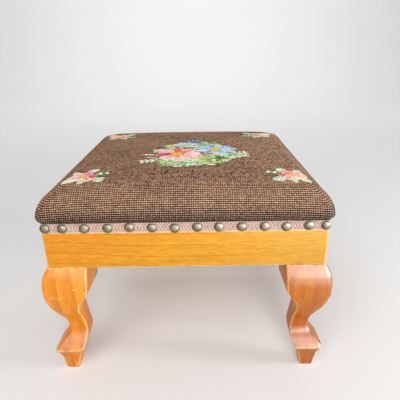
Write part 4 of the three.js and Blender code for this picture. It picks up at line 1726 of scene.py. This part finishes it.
@dataclass
class BoxFrame:
    """Four rails with mitred, slightly rounded corners."""

    half: float
    low: float
    high: float
    thickness: float = 19 * MM
    corner_radius: float = 5 * MM
    corner_segments: int = 12
    bottom_ease: float = 1.2 * MM
    top_ease: float = 0.8 * MM
    ease_segments: int = 3
    back_margin: float = 1 * MM
    mitre_gap: float = 0.15 * MM
    # Strength of the pale arris colour, rubbed varnish with a painted highlight, on the right and left
    # rounded corners, and the turn of face past which it shows.
    right_rub_and_highlight: float = 1.1
    left_rub_and_highlight: float = 0.5
    rub_and_highlight_turn: float = -0.92

    def rounded(
        self, shape: bmesh.types.BMesh, edges: list[bmesh.types.BMEdge], radius: float, segments: int,
    ) -> list[bmesh.types.BMFace]:
        """Rounds edges.

        Args:
            shape: The shape.
            edges: Its edges to round.
            radius: Their radius.
            segments: Number of faces across each.

        Returns:
            The new faces.
        """
        made = bmesh.ops.bevel(
            shape, geom=edges, offset=radius, offset_type="OFFSET", segments=segments, profile=0.5,
            affect="EDGES", material=-1,
        )
        return made["faces"]

    def on_front(self, edge: bmesh.types.BMEdge) -> bool:
        """Whether an edge lies in the rail's front face."""
        return all(vert.co.y < TINY - self.half for vert in edge.verts)

    def on_rim(self, edge: bmesh.types.BMEdge, level: float) -> bool:
        """Whether an edge of the top or bottom is one of those in front, with the rounded corners.

        Args:
            edge: The edge.
            level: Height of the top or bottom.

        Returns:
            Whether it is.
        """
        points = [vert.co for vert in edge.verts]
        if any(abs(point.z - level) >= TINY for point in points):
            return False
        ahead = min(point.y for point in points) < self.thickness - self.half - TINY - self.back_margin
        at_end = any(round(abs(point.x) / self.half, 4) == 1 for point in points)
        return self.on_front(edge) or (ahead and not at_end)

    def rail(self) -> bmesh.types.BMesh:
        """The front rail."""
        shape = bmesh.new()
        bmesh.ops.create_cube(shape, size=1)
        size = Vector((2 * self.half, self.thickness, self.high - self.low))
        bmesh.ops.scale(shape, verts=shape.verts[:], vec=size)
        middle = Vector((0, self.thickness / 2 - self.half, (self.high + self.low) / 2))
        bmesh.ops.translate(shape, verts=shape.verts[:], vec=middle)
        arris = shape.faces.layers.float.new("arris")
        corners = [
            edge for edge in shape.edges
            if self.on_front(edge) and edge.verts[0].co.x == edge.verts[1].co.x
        ]
        for face in self.rounded(shape, corners, self.corner_radius, self.corner_segments):
            face.normal_update()
            # Rounded corners get the pale arris colour: rubbed varnish with a painted highlight, stronger on
            # the right end.
            rub_and_highlight = self.right_rub_and_highlight if face.calc_center_median().x > 0 else self.left_rub_and_highlight
            face[arris] = rub_and_highlight * (face.normal.y > self.rub_and_highlight_turn)
        # Eased top and bottom edges: rubbed varnish with a painted highlight.
        for level, ease in ((self.low, self.bottom_ease), (self.high, self.top_ease)):
            rim = [edge for edge in shape.edges if self.on_rim(edge, level)]
            for face in self.rounded(shape, rim, ease, self.ease_segments):
                face[arris] = 1.0
        for hand in (-1, 1):
            cut_away(shape, (hand * (self.half - self.mitre_gap), -self.half, 0), (hand, 1, 0), 0.1 * TINY)
            bmesh.ops.holes_fill(shape, edges=open_edges(shape))
        bmesh.ops.recalc_face_normals(shape, faces=shape.faces[:])
        return shape

    def build(self) -> None:
        """Builds the four rails with the grain along each."""
        early, late, worn_and_painted_light = (
            picture_colour(*shade) for shade in ((234, 174, 48), (196, 122, 22), (252, 212, 140))
        )
        finishes = [
            VarnishedWood(
                f"varnished rail {axis}", early, late, worn_and_painted_light, axis, 0.42, ring=11 * MM, redder=1.0,
                figure=34 * MM, stretch=0.09,
            ).material()
            for axis in (0, 1)
        ]
        for turn, side in enumerate(SIDES):
            shape = self.rail()
            turn_round(shape, turn)
            name = f"wood_rail_{side}"
            add_piece(name, to_mesh(shape, name), finishes[turn % 2], [f"rail_{side}"])


@dataclass
class CabrioleLegs:
    """Four square-sawn cabriole legs.

    Each row of shares holds a place up the leg, as a share of its height, and how far the line goes out or in
    there, as a share of the size of that name. Each scuff is as in the varnish.
    """

    half: float
    height: float
    width: float = 47.3 * MM
    pad_in: float = 3.2 * MM
    toe_out: float = 5.5 * MM
    ankle_in: float = 10.7 * MM
    knee_out: float = 9.3 * MM
    arris: float = 1.8 * MM
    arris_reach: float = 1.1 * MM
    # Pale toe edge: rubbed varnish together with a painted highlight.
    toe_wear_and_highlight: float = 0.6
    toe_wear_and_highlight_reach: float = 0.012
    levels: int = 76
    corner_steps: int = 10
    arris_steps: int = 3
    toe_share: float = 0.217
    pad_shares: tuple[Place, ...] = ((0, 1), (0.066, 0.62), (0.132, 0.12))
    toe_shares: tuple[Place, ...] = ((0.184, 0.55), (0.217, 1), (0.237, 0.73), (0.263, 0.09))
    ankle_shares: tuple[Place, ...] = (
        (0.289, 0.28), (0.329, 0.84), (0.37, 1), (0.434, 0.93), (0.48, 0.72), (0.546, 0.23),
    )
    knee_shares: tuple[Place, ...] = (
        (0.612, 0.32), (0.678, 0.73), (0.757, 0.99), (0.822, 1), (0.908, 0.785), (0.96, 0.39), (1, 0),
    )
    inner_shares: tuple[Place, ...] = (
        (0, 0.416), (0.132, 0.507), (0.184, 0.571), (0.243, 0.672), (0.283, 0.71), (0.335, 0.736),
        (0.46, 0.698), (0.559, 0.664), (0.592, 0.662), (0.651, 0.698), (0.711, 0.793), (0.757, 0.92),
        (0.789, 0.977), (1, 1),
    )
    corner_radii: tuple[Place, ...] = (
        (0, 2.5 * MM), (0.15, 3 * MM), (0.217, 6 * MM), (0.25, 3.5 * MM), (0.36, 5 * MM), (0.5, 6 * MM),
        (0.7, 10 * MM), (0.85, 10 * MM), (1, 5 * MM),
    )
    scuffs: tuple[tuple[float, float, float, float], ...] = (
        (-160.5 * MM, 116.8 * MM, 5 * MM, 2.2 * MM), (-152 * MM, 115.2 * MM, 5 * MM, 2.4 * MM),
        (-131.5 * MM, 127 * MM, 5 * MM, 1.8 * MM), (-133.8 * MM, 117 * MM, 1.6 * MM, 2.6 * MM),
        (-122 * MM, 122.5 * MM, 1.6 * MM, 2.4 * MM), (-171 * MM, 113 * MM, 2 * MM, 9 * MM),
        (-147.5 * MM, 5 * MM, 3 * MM, 6 * MM),
    )

    def section(self) -> tuple[np.ndarray, np.ndarray, np.ndarray, np.ndarray]:
        """Height share, outer line, inner line and outer corner radius at each level."""
        shares = np.union1d(np.linspace(0, 1, self.levels), [self.toe_share])
        line = [
            (place, size * share)
            for size, rows in (
                (-self.pad_in, self.pad_shares), (self.toe_out, self.toe_shares),
                (-self.ankle_in, self.ankle_shares), (self.knee_out, self.knee_shares),
            )
            for place, share in rows
        ]
        outer = curve_through(line, shares, [self.toe_share])
        inner = self.width * curve_through(self.inner_shares, shares)
        return shares, outer, inner, curve_through(self.corner_radii, shares)

    def leg(self) -> bmesh.types.BMesh:
        """The leg of the corner at +X +Y, from the floor up."""
        shares, outer, inner, radius = self.section()
        steps = [self.corner_steps] + 3 * [self.arris_steps]
        corner = np.concatenate([np.full(count + 1, index) for index, count in enumerate(steps)])
        angle = np.concatenate([
            (index + np.linspace(0, 1, count + 1)) * QUARTER for index, count in enumerate(steps)
        ])

        def place(column: np.ndarray, row: np.ndarray) -> np.ndarray:
            """Points of the rings, each a square with rounded corners.

            Args:
                column: Place of each point round its ring.
                row: Its level.

            Returns:
                The points, one row each.
            """
            turned = column % len(corner)
            index, way = corner[turned], angle[turned]
            ease = np.where(index == 0, radius[row], self.arris)
            far, near = outer[row] - ease, ease - inner[row]
            x = np.where((index == 0) | (index == 3), far, near) + ease * np.cos(way)
            y = np.where(index < 2, far, near) + ease * np.sin(way)
            return np.stack([self.half + x, self.half + y, shares[row] * self.height], 1)

        shape = wrapped(len(corner), len(shares) - 1, place)
        # arris: pale edges, top line and toe line of the leg, rubbed varnish together with a painted
        # highlight.
        arris = shape.verts.layers.float.new("arris")
        for vert in shape.verts:
            row = int(np.argmin(abs(shares - vert.co.z / self.height)))
            x, y = vert.co.x - self.half, vert.co.y - self.half
            sides = (abs(x - outer[row]), abs(y - outer[row]), abs(x + inner[row]), abs(y + inner[row]))
            on_edge = sum(gap < self.arris_reach for gap in sides) > 1 or shares[row] in (self.toe_share, 1)
            near_toe = abs(shares[row] - self.toe_share) < self.toe_wear_and_highlight_reach
            vert[arris] = 1.0 if on_edge else self.toe_wear_and_highlight * near_toe
        return shape

    def build(self) -> None:
        """Builds the four legs."""
        plain = VarnishedWood(
            "varnished leg", picture_colour(218, 126, 10), picture_colour(156, 78, 5),
            picture_colour(252, 216, 150), grain=2, roughness=0.35, coat=0.5, ring=19 * MM,
            vein=picture_colour(150, 72, 14), veining=0.3, vein_start=0.2, contrast=0.8, stripe=0.75,
            figure=34 * MM, lie=(1.0, 0.1), darker_foot=1.0,
        )
        scuffed = replace(
            plain, name="scuffed leg", early=picture_colour(255, 166, 22), late=picture_colour(206, 114, 10),
            scuffs=self.scuffs,
        )
        usual, front_left = plain.material(), scuffed.material()
        for turn, corner in enumerate(("back_right", "back_left", "front_left", "front_right")):
            shape = self.leg()
            turn_round(shape, turn)
            name = f"cabriole_{corner}"
            finish = front_left if corner == "front_left" else usual
            add_piece(name, to_mesh(shape, name), finish, [f"leg_{corner}"])


@dataclass(frozen=True)
class BareWood:
    """Finish of the hidden wood: unvarnished board or block."""

    name: str
    early: Colour
    late: Colour
    grain: tuple[float, float, float]

    def material(self) -> bpy.types.Material:
        """Builds the finish on the object's own coordinates."""
        sheet = NodeSheet(self.name)
        place = sheet.split(sheet.place())
        stretched = sheet.join(*(axis * share for axis, share in zip(place, self.grain)))
        fibre = sheet.noise(stretched, 300.0, 3.0, 0.6)
        colour = sheet.blend(fibre.step(0.36, 0.64), self.late, self.early)
        return sheet.finish(colour, 0.75, sheet.relief(fibre, 0.1 * MM))


@dataclass(frozen=True)
class ZincSteel:
    """Finish of the bolts, nuts, washers and screws."""

    body: Colour = picture_colour(196, 198, 200)
    dark: Colour = picture_colour(150, 152, 156)

    def material(self) -> bpy.types.Material:
        """Builds the finish on the object's own coordinates."""
        sheet = NodeSheet("zinc steel")
        spangle = sheet.noise(sheet.place(), 500, 3.0)
        colour = sheet.blend(spangle.step(0.35, 0.65), self.dark, self.body)
        return sheet.finish(colour, 0.32 + 0.2 * spangle, None, {"Metallic": 1.0})


@dataclass(frozen=True)
class Underside:
    """The hidden board, blocks and fasteners, which stay as packed and get their finishes."""

    ply: BareWood = BareWood(
        "plywood", picture_colour(214, 178, 128), picture_colour(186, 146, 96), (0.06, 1.0, 1.0),
    )
    pine: BareWood = BareWood(
        "block wood", picture_colour(206, 158, 104), picture_colour(170, 120, 72), (1.0, 1.0, 0.08),
    )
    steel: ZincSteel = ZincSteel()

    def dress(self) -> None:
        """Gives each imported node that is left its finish."""
        kinds = {"seat_board": self.ply.material(), "corner_block": self.pine.material()}
        kinds.update(dict.fromkeys(("hanger_bolt", "washer", "hex_nut", "seat_screw"), self.steel.material()))
        for name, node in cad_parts.items():
            for kind, finish in kinds.items():
                if name.startswith(kind):
                    node.data.materials.clear()
                    node.data.materials.append(finish)


@dataclass(frozen=True)
class Softbox:
    """A soft lamp that faces the stool, in metres, degrees and watts.

    The azimuth is its direction from the target, from the front towards +X. A shining lamp is only seen in
    glossy surfaces and lights nothing else.
    """

    name: str
    azimuth: float
    height: float
    reach: float
    wide: float
    tall: float
    power: float
    shine: bool = False
    target: tuple[float, float, float] = (0, 0, 0.12)
    white: tuple[float, float, float] = (1.0, 1.0, 1.0)
    cool: tuple[float, float, float] = (0.76, 0.94, 1.0)

    def build(self) -> None:
        """Adds the lamp to the scene."""
        data = bpy.data.lights.new(self.name, "AREA")
        data.shape = "RECTANGLE"
        data.size = self.wide
        data.size_y = self.tall
        data.energy = self.power
        data.color = self.cool if self.shine else self.white
        lamp = bpy.data.objects.new(self.name, data)
        around, above = math.radians(self.azimuth), math.radians(self.height)
        level = math.cos(above)
        way = Vector((math.sin(around) * level, -math.cos(around) * level, math.sin(above)))
        facing = way.to_track_quat("Z", "Y").to_matrix().to_4x4()
        lamp.matrix_world = Matrix.Translation(Vector(self.target) + way * self.reach) @ facing
        lamp.visible_camera = False
        lamp.visible_diffuse = not self.shine
        bpy.context.scene.collection.objects.link(lamp)


@dataclass
class Studio:
    """A pale floor that curves up behind the stool, and soft lamps."""

    floor: Colour = picture_colour(236, 236, 236)
    wall: Colour = picture_colour(226, 225, 225)
    near: float = 3.0
    back: float = 2.2
    bend: float = 0.8
    rise: float = 3.0
    rows: int = 40
    columns: int = 2
    ambient: float = 0.38
    lamps: tuple[Softbox, ...] = (
        Softbox("key", 10, 24, 1.5, 0.4, 1.1, 9.4),
        Softbox("fill", -25, 42, 2.0, 1.1, 1.3, 13.4),
        Softbox("strip", 78, 9, 1.5, 0.24, 0.56, 9.5),
        Softbox("window", 21, 17, 1.4, 0.62, 1.1, 42.0, shine=True),
        Softbox("streak", 62, 12, 1.5, 1.1, 0.6, 130.0, shine=True),
        Softbox("sky", -25, 42, 2.0, 1.1, 1.3, 24.0, shine=True),
        Softbox("wash", 0, 48, 2.0, 3.0, 0.6, 30.0, target=(0, 3.0, 0.7)),
    )

    def build(self) -> None:
        """Builds the surroundings."""
        self.lay_floor()
        self.light_room()
        for lamp in self.lamps:
            lamp.build()
        bpy.context.scene.view_settings.view_transform = "Standard"

    def lay_floor(self) -> None:
        """Builds the sweep, from the front edge of the floor to the top of the wall."""
        shape = bmesh.new()
        column, row = grid_steps(shape, self.columns, self.rows)
        turn = np.clip((row - 1) / (self.rows - 2), 0, 1) * QUARTER
        x = (column / self.columns * 2 - 1) * self.near
        y = np.where(row == 0, -self.near, self.back + self.bend * np.sin(turn))
        z = np.where(row == self.rows, self.rise, self.bend * (1 - np.cos(turn)))
        move_points(shape, np.stack([x, y, z], 1))
        mesh = to_mesh(shape, "sweep")
        mesh.shade_smooth()
        sheet = NodeSheet("pale paper")
        colour = sheet.shaded(self.floor, 0.985 + 0.03 * sheet.noise(sheet.place(), 3.0))
        mesh.materials.append(sheet.finish(colour, 0.9, None, {"Specular IOR Level": 0.1}))
        sweep = bpy.data.objects.new("sweep", mesh)
        bpy.context.scene.collection.objects.link(sweep)

    def light_room(self) -> None:
        """Gives the room even light, and a pale wall where the camera or a gloss looks past the sweep."""
        world = bpy.data.worlds.new("room")
        bpy.context.scene.world = world
        world.use_nodes = True
        tree = world.node_tree
        even, pale = tree.nodes["Background"], tree.nodes.new("ShaderNodeBackground")
        even.inputs["Color"].default_value = (1.0, 1.0, 1.0, 1.0)
        even.inputs["Strength"].default_value = self.ambient
        pale.inputs["Color"].default_value = self.wall
        path = tree.nodes.new("ShaderNodeLightPath")
        seen = path.outputs["Is Camera Ray"]
        for name in ("Is Glossy Ray", "Is Transmission Ray"):
            either = tree.nodes.new("ShaderNodeMath")
            either.operation = "MAXIMUM"
            tree.links.new(seen, either.inputs[0])
            tree.links.new(path.outputs[name], either.inputs[1])
            seen = either.outputs[0]
        mixed = tree.nodes.new("ShaderNodeMixShader")
        for socket, source in zip(mixed.inputs, (seen, even.outputs[0], pale.outputs[0])):
            tree.links.new(source, socket)
        tree.links.new(mixed.outputs[0], tree.nodes["World Output"].inputs["Surface"])


def main() -> None:
    """Builds the footstool piece by piece, then its surroundings."""
    hem_in, head_out = 2.4 * MM, 3 * MM
    PhotoCamera().build()
    cover_low, cover_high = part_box("needlepoint_cover")
    braid_low, braid_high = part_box("gimp_braid")
    rail_low, rail_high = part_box("rail_right")
    nail_low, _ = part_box("nails_front")
    PaddedSeat(SeatForm(
        half=cover_high.x, hem_half=braid_high.x - hem_in, hem_level=cover_low.z,
        braid_top=braid_high.z, crown_top=cover_high.z - PaddedSeat.swell,
    )).build()
    nails = NailRows(face=-nail_low.y - head_out, level=(braid_low.z + braid_high.z) / 2)
    nails.build()
    GimpBraid(braid_low, braid_high).build(nails)
    BoxFrame(rail_high.x, rail_low.z, rail_high.z).build()
    CabrioleLegs(rail_high.x, rail_low.z).build()
    Underside().dress()
    Studio().build()


if __name__ == "__main__":
    logging.basicConfig(level=logging.INFO, format="%(name)s: %(message)s")
    main()
